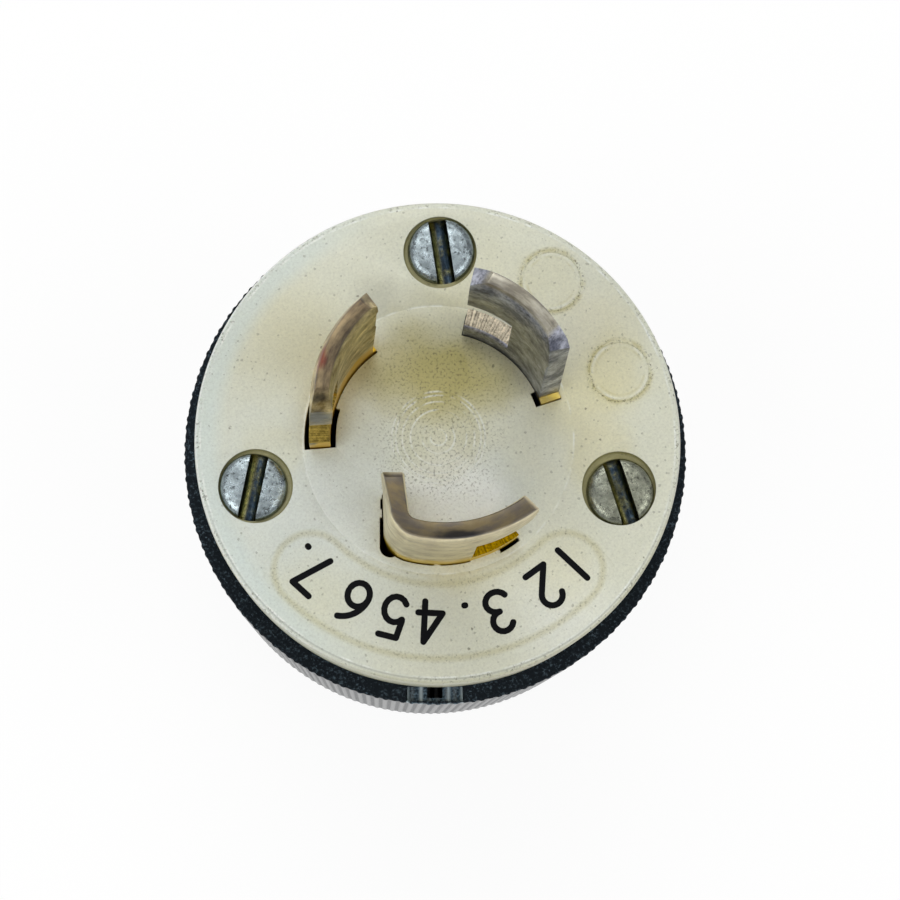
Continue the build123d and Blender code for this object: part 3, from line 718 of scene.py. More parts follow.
def nickel_plating(pole, scene):
    """Nickel-plated brass strip, dulled by use: tarnish clouds, fine pits, streaks rubbed round the axis by
    sockets, a handled tip partly toned as painted reflection, a few marks of which two are painted
    reflections, and bare brass at the root."""
    *tones, rise, streaks, depth = FINISHES[pole]
    light, dark, tip, tip_dark, root, _ = (linear(tone) for tone in tones)
    material, node, shader, at = begin_material(f"nickel_plated_brass_{pole}")
    sizes = scene.plug_lengths
    face, top = sizes.face_height, sizes.tip_height
    at_x, at_y, at_z = node("SeparateXYZ", {0: at}).outputs
    clouds = node("TexNoise", {"Vector": at, "Scale": per(1.5), "Detail": 6.0, "Roughness": 0.62})
    clean = node("MapRange", {0: clouds, 1: 0.36, 2: 0.64})
    # Rubbed lengthways round the axis
    angle = node("Math", {0: at_y, 1: at_x}, operation="ARCTAN2")
    run = node("Math", {0: angle, 1: 2.4 * MM}, operation="MULTIPLY")
    distance = away(node, at, 0, 0)
    round_at = node("CombineXYZ", {0: run, 1: distance, 2: at_z})
    rub = node("TexNoise", {"Vector": round_at, "Scale": per(1.2), "Detail": 3.0})
    streak = node("MapRange", {0: rub, 1: 0.3, 2: 0.7, 3: 1 - streaks, 4: 1 + streaks})
    pits = node("TexNoise", {"Vector": at, "Scale": per(0.3), "Detail": 4.0, "Roughness": 0.65})
    pitted = node("MapRange", {0: pits, 1: 0.36, 2: 0.56, 3: 1 - depth, 4: 1 + 0.2 * depth})
    colour = node("Mix", {0: clean, 6: dark, 7: light}, data_type="RGBA")
    for shade in (streak, pitted):
        colour = node("Mix", {0: 1.0, 6: colour, 7: shade}, data_type="RGBA", blend_type="MULTIPLY")
    mottle = node("TexNoise", {"Vector": round_at, "Scale": per(0.7), "Detail": 5.0, "Roughness": 0.6})
    worn = node("MapRange", {0: mottle, 1: 0.4, 2: 0.6})
    # The tip band's light and dark tones are handling wear and, in part, painted reflection
    handled = node("MapRange", {0: at_z, 1: top - 0.6 * MM, 2: top - 0.15 * MM, 4: 0.9})
    tips = node("Mix", {0: worn, 6: tip_dark, 7: tip}, data_type="RGBA")
    colour = node("Mix", {0: handled, 6: colour, 7: tips}, data_type="RGBA")
    for tone, middle, reach, share in MARKS[pole]:
        shift = node("VectorMath", {0: at, 1: Vector(middle) * MM}, operation="SUBTRACT")
        scaled = node("VectorMath", {0: shift, 1: Vector(reach) * MM}, operation="DIVIDE")
        far = node("VectorMath", {0: scaled}, operation="LENGTH")
        uneven = node("Math", {0: mottle, 1: 0.8, 2: far}, operation="MULTIPLY_ADD")
        marked = node("MapRange", {0: uneven, 1: 1.4, 2: 0.8, 4: share}, interpolation_type="SMOOTHSTEP")
        colour = node("Mix", {0: marked, 6: colour, 7: linear(tone)}, data_type="RGBA")
    # Bare brass reaches high inside the poles and outside the ground blade, and low on their other sides
    radius, half = (sizes.ground_radius, -0.3 * MM) if pole == "ground" else (sizes.pole_radius, 0.3 * MM)
    lift = node("MapRange", {0: distance, 1: radius - half, 2: radius + half, 4: 2 * MM})
    height = node("Math", {0: clouds, 1: 3.0 * MM, 2: at_z}, operation="MULTIPLY_ADD")
    height = node("Math", {0: height, 1: lift})
    bare = node("MapRange", {0: height, 1: face + (rise + 2.4) * MM, 2: face + (rise + 1.2) * MM})
    colour = node("Mix", {0: bare, 6: colour, 7: root}, data_type="RGBA")
    rough = node("MapRange", {0: clouds, 1: 0.3, 2: 0.7, 3: 0.46, 4: 0.28})
    bump = node("Bump", {"Height": rub, "Strength": 0.4 * streaks, "Distance": 0.05 * MM})
    wire(shader, {"Base Color": colour, "Metallic": 1.0, "Roughness": rough, "Normal": bump})
    return material


def sheared_brass(pole):
    """Brass left bare by the punch: short bright shear marks across the strip with dark dirt between them."""
    material, node, shader, at = begin_material(f"brass_sheared_{pole}")
    at_x, at_y, _ = node("SeparateXYZ", {0: at}).outputs
    angle = node("Math", {0: at_y, 1: at_x}, operation="ARCTAN2")
    run = node("Math", {0: angle, 1: 9 * MM}, operation="MULTIPLY")
    marks = node("TexNoise", {"W": run, "Scale": per(0.16), "Detail": 2.0}, noise_dimensions="1D")
    dirt = node("TexNoise", {"Vector": at, "Scale": per(0.2), "Detail": 4.0, "Roughness": 0.75})
    both = node("Math", {0: dirt, 1: 1.5, 2: marks}, operation="MULTIPLY_ADD")
    shade = node("MapRange", {0: both, 1: 0.95, 2: 1.5, 3: 0.3, 4: 1.25})
    *_, floor, _, _, _ = FINISHES[pole]
    colour = node("Mix", {0: 1.0, 6: linear(floor), 7: shade}, data_type="RGBA", blend_type="MULTIPLY")
    rough = node("MapRange", {0: dirt, 3: 0.55, 4: 0.3})
    bump = node("Bump", {"Height": both, "Strength": 0.7, "Distance": 0.06 * MM})
    wire(shader, {"Base Color": colour, "Metallic": 1.0, "Roughness": rough, "Normal": bump})
    return material


def zinc_plating(scene):
    """Zinc-plated steel screw heads: blue-grey, scuffed bright, blotched and pitted, polished on the rim,
    dulled olive towards the right, with grime low in the slot painted as navy shade, and olive painted light
    on its side that faces right."""
    material, node, shader, at = begin_material("zinc_plated_steel_scuffed")
    colours, top = scene.plug_colours, scene.plug_lengths.face_height + scene.plug_lengths.screw_rise
    at_x, _, at_z = node("SeparateXYZ", {0: at}).outputs
    blotch = node("TexNoise", {"Vector": at, "Scale": per(0.8), "Detail": 7.0, "Roughness": 0.75})
    scuff = node("TexNoise", {"Vector": at, "Scale": per(0.32), "Detail": 4.0, "Roughness": 0.7})
    aged = node("MapRange", {0: at_x, 1: 2 * MM, 2: 13 * MM, 4: 0.75})
    dull = node("MapRange", {0: blotch, 1: 0.4, 2: 0.56, 3: 0.55, 4: 1.0})
    pits = node("MapRange", {0: scuff, 1: 0.36, 2: 0.46, 3: 0.3, 4: 1.0})
    colour = node("Mix", {0: aged, 6: colours.zinc, 7: colours.zinc_aged}, data_type="RGBA")
    for shade in (dull, pits):
        colour = node("Mix", {0: 1.0, 6: colour, 7: shade}, data_type="RGBA", blend_type="MULTIPLY")
    # Low in the slot the colour is grime with painted shade and light: navy painted shade in the slot colour,
    # and olive painted light in the grime colour on the side that faces right
    low = node("Math", {0: blotch, 1: 0.3 * MM, 2: at_z}, operation="MULTIPLY_ADD")
    grimy = node("MapRange", {0: low, 1: top - 0.55 * MM, 2: top - 0.75 * MM, 4: 0.95})
    facing_x, _, facing_z = node("SeparateXYZ", {0: node("NewGeometry").outputs["Normal"]}).outputs
    lit = node("MapRange", {0: facing_x, 1: 0.05, 2: 0.5})
    spread = node("MapRange", {0: blotch, 1: 0.5, 2: 0.7, 4: 0.6})
    lit = node("Math", {0: lit, 1: spread}, operation="MAXIMUM")
    shade = node("MapRange", {0: scuff, 1: 0.35, 2: 0.65, 3: 0.5, 4: 1.4})
    grime = node("Mix", {0: lit, 6: colours.slot, 7: colours.grime}, data_type="RGBA")
    grime = node("Mix", {0: 1.0, 6: grime, 7: shade}, data_type="RGBA", blend_type="MULTIPLY")
    colour = node("Mix", {0: grimy, 6: colour, 7: grime}, data_type="RGBA")
    rough = node("MapRange", {0: blotch, 1: 0.35, 2: 0.65, 3: 0.46, 4: 0.16})
    round_rim = node("MapRange", {0: facing_z, 1: 0.985, 2: 0.95, 3: 1.0, 4: 0.35})
    rough = node("Math", {0: rough, 1: round_rim}, operation="MULTIPLY")
    relief = node("Math", {0: scuff, 1: 0.4, 2: blotch}, operation="MULTIPLY_ADD")
    bump = node("Bump", {"Height": relief, "Strength": 0.6, "Distance": 0.08 * MM})
    wire(shader, {"Base Color": colour, "Metallic": 1.0, "Roughness": rough, "Normal": bump})
    return material


def grained(name, colour, grain, roughness, **inputs):
    """Plain finish with a fine grain in its colour, roughness and surface, for pieces that show little."""
    material, node, shader, at = begin_material(name)
    texture = node("TexNoise", {"Vector": at, "Scale": per(grain), "Detail": 4.0})
    shade = node("MapRange", {0: texture, 3: 0.78, 4: 1.15})
    colour = node("Mix", {0: 1.0, 6: colour, 7: shade}, data_type="RGBA", blend_type="MULTIPLY")
    rough = node("MapRange", {0: texture, 3: roughness - 0.1, 4: roughness + 0.12})
    bump = node("Bump", {"Height": texture, "Strength": 0.2, "Distance": 0.03 * MM})
    wire(shader, {"Base Color": colour, "Roughness": rough, "Normal": bump, **inputs})
    return material


def floor_white(colours):
    """Pale matt floor that is white to the eye and in reflections, and still takes a soft shadow."""
    material, node, shader, at = begin_material("floor_white")
    material.node_tree.nodes.remove(shader)
    texture = node("TexNoise", {"Vector": at, "Scale": per(40), "Detail": 2.0})
    tone = node("MapRange", {0: texture, 3: 0.985, 4: 1.0})
    colour = node("Mix", {0: 1.0, 6: colours.floor, 7: tone}, data_type="RGBA", blend_type="MULTIPLY")
    matt = node("BsdfDiffuse", {"Color": colour})
    white = node("Emission", {"Color": ON, "Strength": 1.03})
    path = node("LightPath")
    seen = node("Math", {0: path.outputs["Is Camera Ray"], 1: path.outputs["Is Glossy Ray"]})
    seen = node("Math", {0: seen, 1: path.outputs["Is Transmission Ray"]}, use_clamp=True)
    part = node("Math", {0: seen, 1: 0.87}, operation="MULTIPLY")
    mixed = node("MixShader", {0: part, 1: matt, 2: white})
    wire(material.node_tree.nodes["Material Output"], {"Surface": mixed})
    return material


# Pieces


def polar(radius, angle):
    """Point on a circle about the axis."""
    return radius * math.cos(angle), radius * math.sin(angle)


def blade_path(pole, sizes, angles):
    """A blade's start, its moves up to the notch and its turn about the axis, along its middle line."""
    notch = getattr(angles, f"{pole}_notch")
    if pole == "ground":
        corner_x = sizes.corner_radius - sizes.leg_offset
        corner = (corner_x, -math.sqrt((sizes.ground_radius - sizes.corner_radius) ** 2 - corner_x ** 2))
        meet = math.atan2(corner[1], corner[0])
        moves = [(0, corner[1] + sizes.leg_end, 0), (corner, meet + math.pi), ((0, 0), notch - meet)]
        return (-sizes.leg_offset, -sizes.leg_end), moves, 0.0
    begun = getattr(angles, f"{pole}_start")
    return (sizes.pole_radius, 0), [((0, 0), notch - begun)], begun


# Stretches of the slots: radius of the blade's middle, both ends, and the gaps inside and outside the blade
SLOTS = (("pole_radius", 18.3, 77.4, 0.05, 0.08), ("pole_radius", 18.1, 26.5, 0.42, 0.08),
         ("pole_radius", 124.5, 184.6, 0.15, 0.12), ("pole_radius", 163.0, 184.8, 0.48, 0.34),
         ("ground_radius", -62.3, -51.6, 0.1, 0.3))
# The ground slot's gap on each side of the blade, and how far it starts inside the leg's free end
GROUND_GAP, GROUND_RUN_IN = 0.08, 0.1
# Boxes that widen the ground slot beside the blade's leg, as low and high corners
LEG_GAPS = (((-4.39, -8.15), (-3.4, -5.9)), ((-4.35, -5.3), (-3.6, -4.5)))
# Radius and middle of the ground slot's round corner
SLOT_CORNER = (0.79, (-3.61, -8.12))
# Crush ribs on the ground slot's outer wall: their bearings, radius and how far they sink into the wall
CRUSH_BEARINGS, CRUSH_RADIUS, CRUSH_SINK = (-90.8, -63.2), 0.3, 0.1
# Radius of the holes for the assembly screws' shanks, depth of their seats and gap round their heads
SHANK_HOLE, SEAT_DEPTH, HEAD_GAP = 1.9, 2.9, 0.03
# Widths and heights of the lines of the middle rings and of the two rings at the upper right
CENTRE_LINE, FACE_LINE = (0.14, 0.035), (0.24, 0.05)
# Half width and depth of the witness line
WITNESS_HALF, WITNESS_DEPTH = 0.05, 0.02
# How far a cutter reaches past what it cuts
PAST = 1


def cut_slots(body, sizes, angles):
    """Cuts the blades' slots through the front body."""
    foot, top = sizes.spigot_foot - PAST, sizes.face_height + PAST
    for middle, start, stop, inside, outside in SLOTS:
        width = sizes.sheet + inside + outside
        radius = getattr(sizes, middle) + (outside - inside) / 2
        slot = strip("slot_cutter", (radius, 0), [(foot, width), (top, width)],
                     [((0, 0), math.radians(stop - start))])
        combine(body, place(slot, math.radians(start)))
    (x, y), (leg, *bends), _ = blade_path("ground", sizes, angles)
    width = sizes.sheet + 2 * GROUND_GAP
    combine(body, strip("slot_cutter", (x, y + GROUND_RUN_IN), [(foot, width), (top, width)],
                        [(0, leg[1] - GROUND_RUN_IN, 0), *bends]))
    for low, high in LEG_GAPS:
        combine(body, block("slot_gap_cutter", (*low, foot), (*high, top)))
    radius, middle = SLOT_CORNER
    corner = lathe("slot_corner_cutter", [(radius, foot), (radius, top)], 32)
    combine(body, place(corner, 0, (*middle, 0)))


def cut_screw_holes(body, sizes):
    """Bores the front body for the assembly screws, with a shallow ring that shows round each head."""
    face, bore = sizes.face_height, sizes.screw_head + HEAD_GAP
    seat, well = face - SEAT_DEPTH, sizes.screw_head + sizes.screw_gap
    for _, (x, y), _, (dx, dy) in SCREWS:
        hole = lathe("hole_cutter", [(SHANK_HOLE, sizes.spigot_foot - PAST), (SHANK_HOLE, seat), (bore, seat),
                                     (bore, face + PAST)], 64)
        combine(body, place(hole, 0, (x + dx, y + dy, 0)))
        ring = lathe("well_cutter", [(well - 0.12, face - 0.45), (well - 0.03, face - 0.36),
                                     (well, face - 0.2), (well + 0.05, face + PAST)], 64)
        combine(body, place(ring, 0, (x, y, 0)))


def add_crush_ribs(body, sizes):
    """Stands crush ribs on the outer wall of the ground slot."""
    face, width = sizes.face_height, sizes.sheet + 2 * GROUND_GAP
    wall = sizes.ground_radius + width / 2 + CRUSH_SINK
    for bearing in CRUSH_BEARINGS:
        rib = lathe("crush_rib", [(CRUSH_RADIUS, sizes.spigot_foot + 0.4), (CRUSH_RADIUS, face - 0.12),
                                  (CRUSH_RADIUS - 0.1, face - 0.01)], 16)
        combine(body, place(rib, 0, (*polar(wall, math.radians(bearing)), 0)), "UNION")


def mould_face(body, sizes, angles):
    """Raises the face's low rings, and sinks the witness line round the blades and the numerals' pad."""
    face = sizes.face_height
    rings = [((0, CENTRE_SHIFT), radius, *CENTRE_LINE) for radius in CENTRE_RINGS]
    rings += [((x, y), radius, *FACE_LINE) for x, y, radius in FACE_RINGS]
    for middle, radius, width, rise in rings:
        ridge = lathe("ridge", [
            (radius - width / 2, face - 0.03), (radius - width / 6, face + rise),
            (radius + width / 6, face + rise), (radius + width / 2, face - 0.03)], 96, capped=False)
        combine(body, place(ridge, 0, (*middle, 0)), "UNION")
    inner, outer = WITNESS_RADIUS - WITNESS_HALF, WITNESS_RADIUS + WITNESS_HALF
    groove = lathe("witness_cutter", [(inner, face), (WITNESS_RADIUS, face - WITNESS_DEPTH), (outer, face),
                                      (outer, face + PAST), (inner, face + PAST)], 128, capped=False)
    combine(body, groove)
    pad = strip("pad_cutter", (sizes.pad_radius, 0), [(face - sizes.pad_depth, sizes.pad_width),
                (face + PAST, sizes.pad_width)], [((0, 0), angles.pad_arc)])
    bevel_edges(pad, lambda e: abs(e.verts[0].co.z - e.verts[1].co.z) > PAST / 2 and any(
        abs(math.atan2(e.verts[0].co.y, e.verts[0].co.x) - end) < NEAR for end in (0, angles.pad_arc)),
        sizes.pad_width * 0.48, 8)
    combine(body, place(pad, math.radians(-90) - angles.pad_arc / 2))


class PLUG_OT_front_body(bpy.types.Operator):
    """Model the cream front body with its blade slots, screw holes and moulded rings"""
    bl_idname = "plug.front_body"
    bl_label = "Front Body"

    def execute(self, context):
        sizes, angles = millimetres(context.scene.plug_lengths), context.scene.plug_angles
        face, edge, rim = sizes.face_height, sizes.face_edge, sizes.face_radius
        body = lathe("front_body_moulding", [
            (sizes.spigot_radius, sizes.spigot_foot), (sizes.spigot_radius, sizes.ledge_height),
            (rim, sizes.ledge_height), (rim, face - edge), (rim - 0.1 * edge, face - 0.6 * edge),
            (rim - 0.35 * edge, face - 0.25 * edge), (rim - edge, face)], 192)
        cut_slots(body, sizes, angles)
        cut_screw_holes(body, sizes)
        break_edges(body, 0.07, 2)
        add_crush_ribs(body, sizes)
        mould_face(body, sizes, angles)
        finish(body, [cream_nylon(context.scene)], "front_body")
        return {"FINISHED"}


# Rise of the shoulder above the neck, and heights of the wiring chamber's floor and of the step above it
SHOULDER_RISE, CHAMBER_FLOOR, CHAMBER_STEP = 5, 16, 24
# Mesh columns of one rib, of which the first two are its crest
RIB_COLUMNS = 4
# Of every eleven ribs these many are worn, by this share of their height, over this length below the rim
WORN_RIBS, WORN_SHARE, WORN_LENGTH = 4, 0.6, 4
# Depth and heights of the groove for the jaws' tongues, and how far the channel's cutters reach
GROOVE_DEPTH, GROOVE_HEIGHTS, CHANNEL_REACH = 1.2, (5.2, 8.6), 25
# A screw boss, from the mouth of its bore round its outside to the foot of its bore
BOSS = ((2.45, 25), (2.45, 32), (3.3, 32), (3.3, 15.5), (0.5, 15.5), (0.5, 25))
# The rim notch's half width and the rim left outside it, and its drain's half width, web, reach and depth
NOTCH_HALF, NOTCH_RIM = 2.1, 0.3
DRAIN_HALF, DRAIN_WEB, DRAIN_REACH, DRAIN_DEPTH = 0.6, 0.25, 1.2, 5.5


def raise_ribs(shell, sizes, ribs, shoulder):
    """Raises the fine ribs of the grip, some of them worn low at the rim."""
    valley = sizes.grip_radius - sizes.rib_height

    def column(vertex):
        """Number of a vertex's mesh column round the grip."""
        return round(math.atan2(vertex.co.y, vertex.co.x) / math.tau * RIB_COLUMNS * ribs)

    with editing(shell):
        pick("VERT", lambda v: v.co.z > shoulder + 0.8 and v.co.xy.length > valley - 0.2
             and column(v) % RIB_COLUMNS < 2)
        outwards = 1 + sizes.rib_height / valley
        bpy.ops.transform.resize(value=(outwards, outwards, 1), center_override=(0, 0, 0))
        pick("VERT", lambda v: v.co.z > sizes.ledge_height - WORN_LENGTH
             and column(v) // RIB_COLUMNS * 7 % 11 < WORN_RIBS, keep=True)
        inwards = 1 - WORN_SHARE * sizes.rib_height / valley
        bpy.ops.transform.resize(value=(inwards, inwards, 1), center_override=(0, 0, 0))


def cut_rim_notch(shell, sizes):
    """Cuts the shallow notch in the rim over a narrow drain hole, and rounds its edges."""
    rim, ledge = -sizes.grip_radius + NOTCH_RIM, sizes.ledge_height
    floor, middle = ledge - sizes.rim_notch, NOTCH_MIDDLE
    combine(shell, block("notch_cutter", (middle - NOTCH_HALF, rim, floor),
                         (middle + NOTCH_HALF, 0.05 - sizes.face_radius, ledge + PAST)))
    combine(shell, block("drain_cutter", (middle - DRAIN_HALF, rim + DRAIN_WEB, ledge - DRAIN_DEPTH),
                         (middle + DRAIN_HALF, rim + DRAIN_REACH, floor + 0.1)))
    bevel_edges(shell, lambda e: e.is_manifold and e.calc_face_angle() > 1 and all(
        abs(v.co.x - middle) < NOTCH_HALF + 0.1 and rim - 0.1 < v.co.y < rim + 1.1 and v.co.z > floor - 0.1
        for v in e.verts), 0.09, 2)


class PLUG_OT_housing(bpy.types.Operator):
    """Model the black housing with its fine ribs, rim notch, tail cheeks and screw bosses"""
    bl_idname = "plug.housing"
    bl_label = "Housing"

    def execute(self, context):
        sizes, ribs = millimetres(context.scene.plug_lengths), context.scene.plug_angles.rib_count
        ledge, neck, cheek = sizes.ledge_height, sizes.neck_radius, sizes.neck_height
        valley, cord = sizes.grip_radius - sizes.rib_height, sizes.cord_hole_radius
        full, shoulder = valley + sizes.grip_flare, cheek + SHOULDER_RISE
        wall = [(valley + sizes.grip_flare * (1 - s), shoulder + 0.9 + s * (ledge - shoulder - 1.0))
                for s in (0.0, 0.25, 0.5, 0.75, 1.0)]
        shell = lathe("housing_moulding", [
            (cord, 0), (neck - 0.8, 0), (neck - 0.25, 0.2), (neck, 0.8), (neck, cheek),
            (neck + 0.25, cheek + 0.7), (full - 0.75, shoulder - 1.4), (full - 0.3, shoulder - 0.6),
            (full - 0.05, shoulder), (full, shoulder + 0.3), *wall, (valley - 0.12, ledge),
            (sizes.face_radius + 0.4, ledge), (sizes.bore_radius, ledge), (sizes.bore_radius, CHAMBER_STEP),
            (sizes.chamber_radius, CHAMBER_STEP), (sizes.chamber_radius, CHAMBER_FLOOR),
            (cord, CHAMBER_FLOOR)], RIB_COLUMNS * ribs, capped=False)
        raise_ribs(shell, sizes, ribs, shoulder)
        # Channel for the clamp jaws between two cheeks, with a groove in each cheek for the jaws' tongues
        half, deep, (low, high) = sizes.channel_width / 2, GROOVE_DEPTH, GROOVE_HEIGHTS
        for name, wide, start, stop in (("channel_cutter", half, -PAST, cheek),
                                        ("groove_cutter", half + deep, low, high)):
            combine(shell, block(name, (-CHANNEL_REACH, -wide, start), (CHANNEL_REACH, wide, stop)))
        for _, where, _, _ in SCREWS:
            boss = lathe("boss", BOSS, 32, capped=False)
            combine(shell, place(boss, 0, (*where, 0)), "UNION")
        cut_rim_notch(shell, sizes)
        finish(shell, [black_nylon(context.scene)], "housing")
        return {"FINISHED"}


# Where a blade's tip leans to, how it is stretched across and along the plug, and the middle of that stretch
TIPS = {"line": ((-0.15, 0.32), (1, 1), (0, 0)), "neutral": ((0.6, 0.2), (1, 1), (0, 0)),
        "ground": ((0, 0), (1.035, 0.9), (0.9, -8.6))}
# The ground blade's bend leans in by so much, in these steps, from one X to another and in front of a Y
BEND_LEAN, BEND_STEPS, BEND_FROM, BEND_SPAN, BEND_FRONT = 0.54, 24, -1.5, 1.7, -5
# How far a pole's clockwise end stands back from its root, slants and has its corner cut back
ENDS = {"line": (0.45, 0.6, 0.65), "neutral": (0.35, 0.1, 0.4)}
# How far the corners of the ground blade's leg and of the hooks are cut back, and the steepness of those cuts
LEG_CUT, HOOK_CUTS, CUT_SLOPE = 0.15, {"line": 0.55, "neutral": 0.55, "ground": 0.2}, 2.6
# A terminal leg's half width and length, and its tapped hole's radius and drop
TERMINAL_HALF, TERMINAL_DROP, TAPPED_RADIUS, TAPPED_DROP = 4, 10.4, 1.55, 6


def blade_radius(pole, sizes):
    """Radius of a blade's middle line."""
    return sizes.ground_radius if pole == "ground" else sizes.pole_radius


def bend_blade(pole, sizes, angles):
    """A blade bent from strip with its notch and hook, the levels of its section and its tip's two ends."""
    face, tip = sizes.face_height, sizes.tip_height
    floor, hook = face + sizes.notch_floor, face + sizes.notch_top
    start, moves, placed = blade_path(pole, sizes, angles)
    notch, root, end = (getattr(angles, f"{pole}_{part}") for part in ("notch", "root", "hook"))
    radius = blade_radius(pole, sizes)
    land = sizes.ground_land if pole == "ground" else sizes.tip_land
    levels = [(sizes.spigot_foot - sizes.sheet, sizes.sheet), (floor, sizes.sheet), (hook, sizes.sheet),
              (tip - sizes.tip_bevel, sizes.sheet), (tip - 0.12, land), (tip, land - 0.16)]
    # The notch is left out between the root and the hook, and the longer of the two goes on alone
    after, shared = len(moves), min(root, end)
    moves += [((0, 0), shared - notch), ((0, 0), max(root, end) - shared)]
    stays = {after: lambda z: not floor < z < hook,
             after + 1: lambda z: z < floor if root > end else z > hook}
    blade = strip(f"{pole}_blade_strip", start, levels, moves, stays)
    first = (Vector((*start, 0)), Vector((0, 1, 0)), LEG_CUT)
    if pole != "ground":
        # Above its root a pole's clockwise end stands back and slants
        step, slant, cut = ENDS[pole]
        cutter = block("shoulder_cutter", (radius - 3, -2, face + sizes.shoulder),
                       (radius + 3, step, tip + PAST))
        with editing(cutter):
            pick("VERT", lambda v: v.co.z > tip and v.co.y > 0)
            bpy.ops.transform.translate(value=(0, slant, 0))
        combine(blade, cutter)
        place(blade, placed)
        begun = placed + (step + slant) / radius
        first = (Vector((*polar(radius, begun), 0)), Vector((math.sin(begun), -math.cos(begun), 0)), cut)
    last = (Vector((*polar(radius, end), 0)), Vector((-math.sin(end), math.cos(end), 0)), HOOK_CUTS[pole])
    return blade, levels, (first, last)


def lean_tip(blade, pole, sizes, levels, ends):
    """Leans and stretches a blade towards its tip, and cuts back the tip's corners at both ends."""
    face, tip = sizes.face_height, sizes.tip_height
    lean, stretch, about = TIPS[pole]
    select_only(blade)
    bpy.ops.object.mode_set(mode="EDIT")
    for height, _ in levels[1:]:
        share = (height - face) / (tip - face)
        pick("VERT", lambda v: abs(v.co.z - height) < NEAR)
        grown = [1 + share * (s - 1) for s in stretch]
        bpy.ops.transform.resize(value=(*grown, 1), center_override=(*about, 0))
        bpy.ops.transform.translate(value=(lean[0] * share, lean[1] * share, 0))
        # The ground blade's bend leans in, less towards the arc, and its leg's free end stays
        for step in range(BEND_STEPS if pole == "ground" else 0):
            limit = BEND_FROM - BEND_SPAN * step / BEND_STEPS
            pick("VERT", lambda v: abs(v.co.z - height) < NEAR and v.co.x < limit and v.co.y < BEND_FRONT)
            bpy.ops.transform.translate(value=(BEND_LEAN / BEND_STEPS * share, 0, 0))
    for at, outward, back in ends:
        middle = [c + s * (p - c) + m for p, s, c, m in zip(at, stretch, about, lean)]
        bpy.ops.mesh.select_all(action="SELECT")
        bpy.ops.mesh.bisect(plane_co=(*middle, tip - CUT_SLOPE * back), use_fill=True, clear_outer=True,
                            plane_no=outward * CUT_SLOPE + Vector((0, 0, 1)), threshold=NEAR / 10)
    tidy_mesh()


def add_terminal(blade, pole, sizes, angles):
    """Adds the foot and the tapped terminal leg, as blocks joined to the blade."""
    outer, sheet, half = sizes.terminal_radius, sizes.sheet, TERMINAL_HALF
    seat = sizes.spigot_foot - sheet
    foot = block("foot", (blade_radius(pole, sizes), -half, seat), (outer, half, seat + sheet))
    leg = block("leg", (outer - sheet, -half, seat - TERMINAL_DROP), (outer, half, seat + sheet / 2))
    combine(foot, leg, "UNION")
    hole = lathe("tapped_hole", [(TAPPED_RADIUS, -half), (TAPPED_RADIUS, half)], 24)
    hole.rotation_euler.y = math.pi / 2
    combine(foot, place(hole, 0, (outer, 0, seat - TAPPED_DROP)))
    turned = TERMINAL_TURN
    if pole != "ground":
        turned = (getattr(angles, f"{pole}_root") + getattr(angles, f"{pole}_start")) / 2
    combine(blade, place(foot, turned), "UNION")


def bare_floor(blade, pole, sizes, angles):
    """Gives the second material to a notch's floor and the root below it, which the punch left bare."""
    face, floor = sizes.face_height, sizes.face_height + sizes.notch_floor
    notch, root = getattr(angles, f"{pole}_notch"), getattr(angles, f"{pole}_root")

    def punched(part):
        """Whether a face looks up, near the floor's height and within the notch's arc of the root's end."""
        x, y, z = part.calc_center_median()
        return (face - 1 < z < floor + 0.2 and part.normal.z > 0.85
                and abs(math.remainder(math.atan2(y, x) - root, math.tau)) < root - notch)

    with editing(blade):
        pick("FACE", punched)
        blade.active_material_index = 1
        bpy.ops.object.material_slot_assign()


class PLUG_OT_blades(bpy.types.Operator):
    """Model the two hooked poles and the L-shaped ground blade from bent strip"""
    bl_idname = "plug.blades"
    bl_label = "Blades"

    def execute(self, context):
        sizes, angles = millimetres(context.scene.plug_lengths), context.scene.plug_angles
        floor = sizes.face_height + sizes.notch_floor
        for pole in POLES:
            blade, levels, ends = bend_blade(pole, sizes, angles)
            lean_tip(blade, pole, sizes, levels, ends)
            add_terminal(blade, pole, sizes, angles)
            if pole == "line":
                # The inner edge of its notch's floor is worn round
                bevel_edges(blade, lambda e: e.is_manifold and e.calc_face_angle() > 1 and all(
                    abs(v.co.z - floor) < NEAR and v.co.xy.length < sizes.pole_radius - 0.5 for v in e.verts),
                    0.45, 4)
            break_edges(blade, 0.13, 3)
            materials = [nickel_plating(pole, context.scene), sheared_brass(pole)]
            for material in materials:
                blade.data.materials.append(material)
            bare_floor(blade, pole, sizes, angles)
            finish(blade, materials, f"{pole}_blade")
        return {"FINISHED"}


# An assembly screw's radius, the radius and height of its pointed end and the height where its thread is full
SHANK, SHANK_POINT, SHANK_END, SHANK_FULL = 1.6, 1.3, 26, 26.3
# Rounding of a head's top: how far in from its side and down from its top
HEAD_ROUND = ((0, 0.62), (0.04, 0.46), (0.14, 0.3), (0.32, 0.17), (0.62, 0.09), (1.3, 0.03), (2.2, 0))
# Half length and depth of the driver slot, and the share of its half width that rounds its floor
SLOT_REACH, SLOT_DEPTH, SLOT_ROUND = 4, 1.3, 0.92


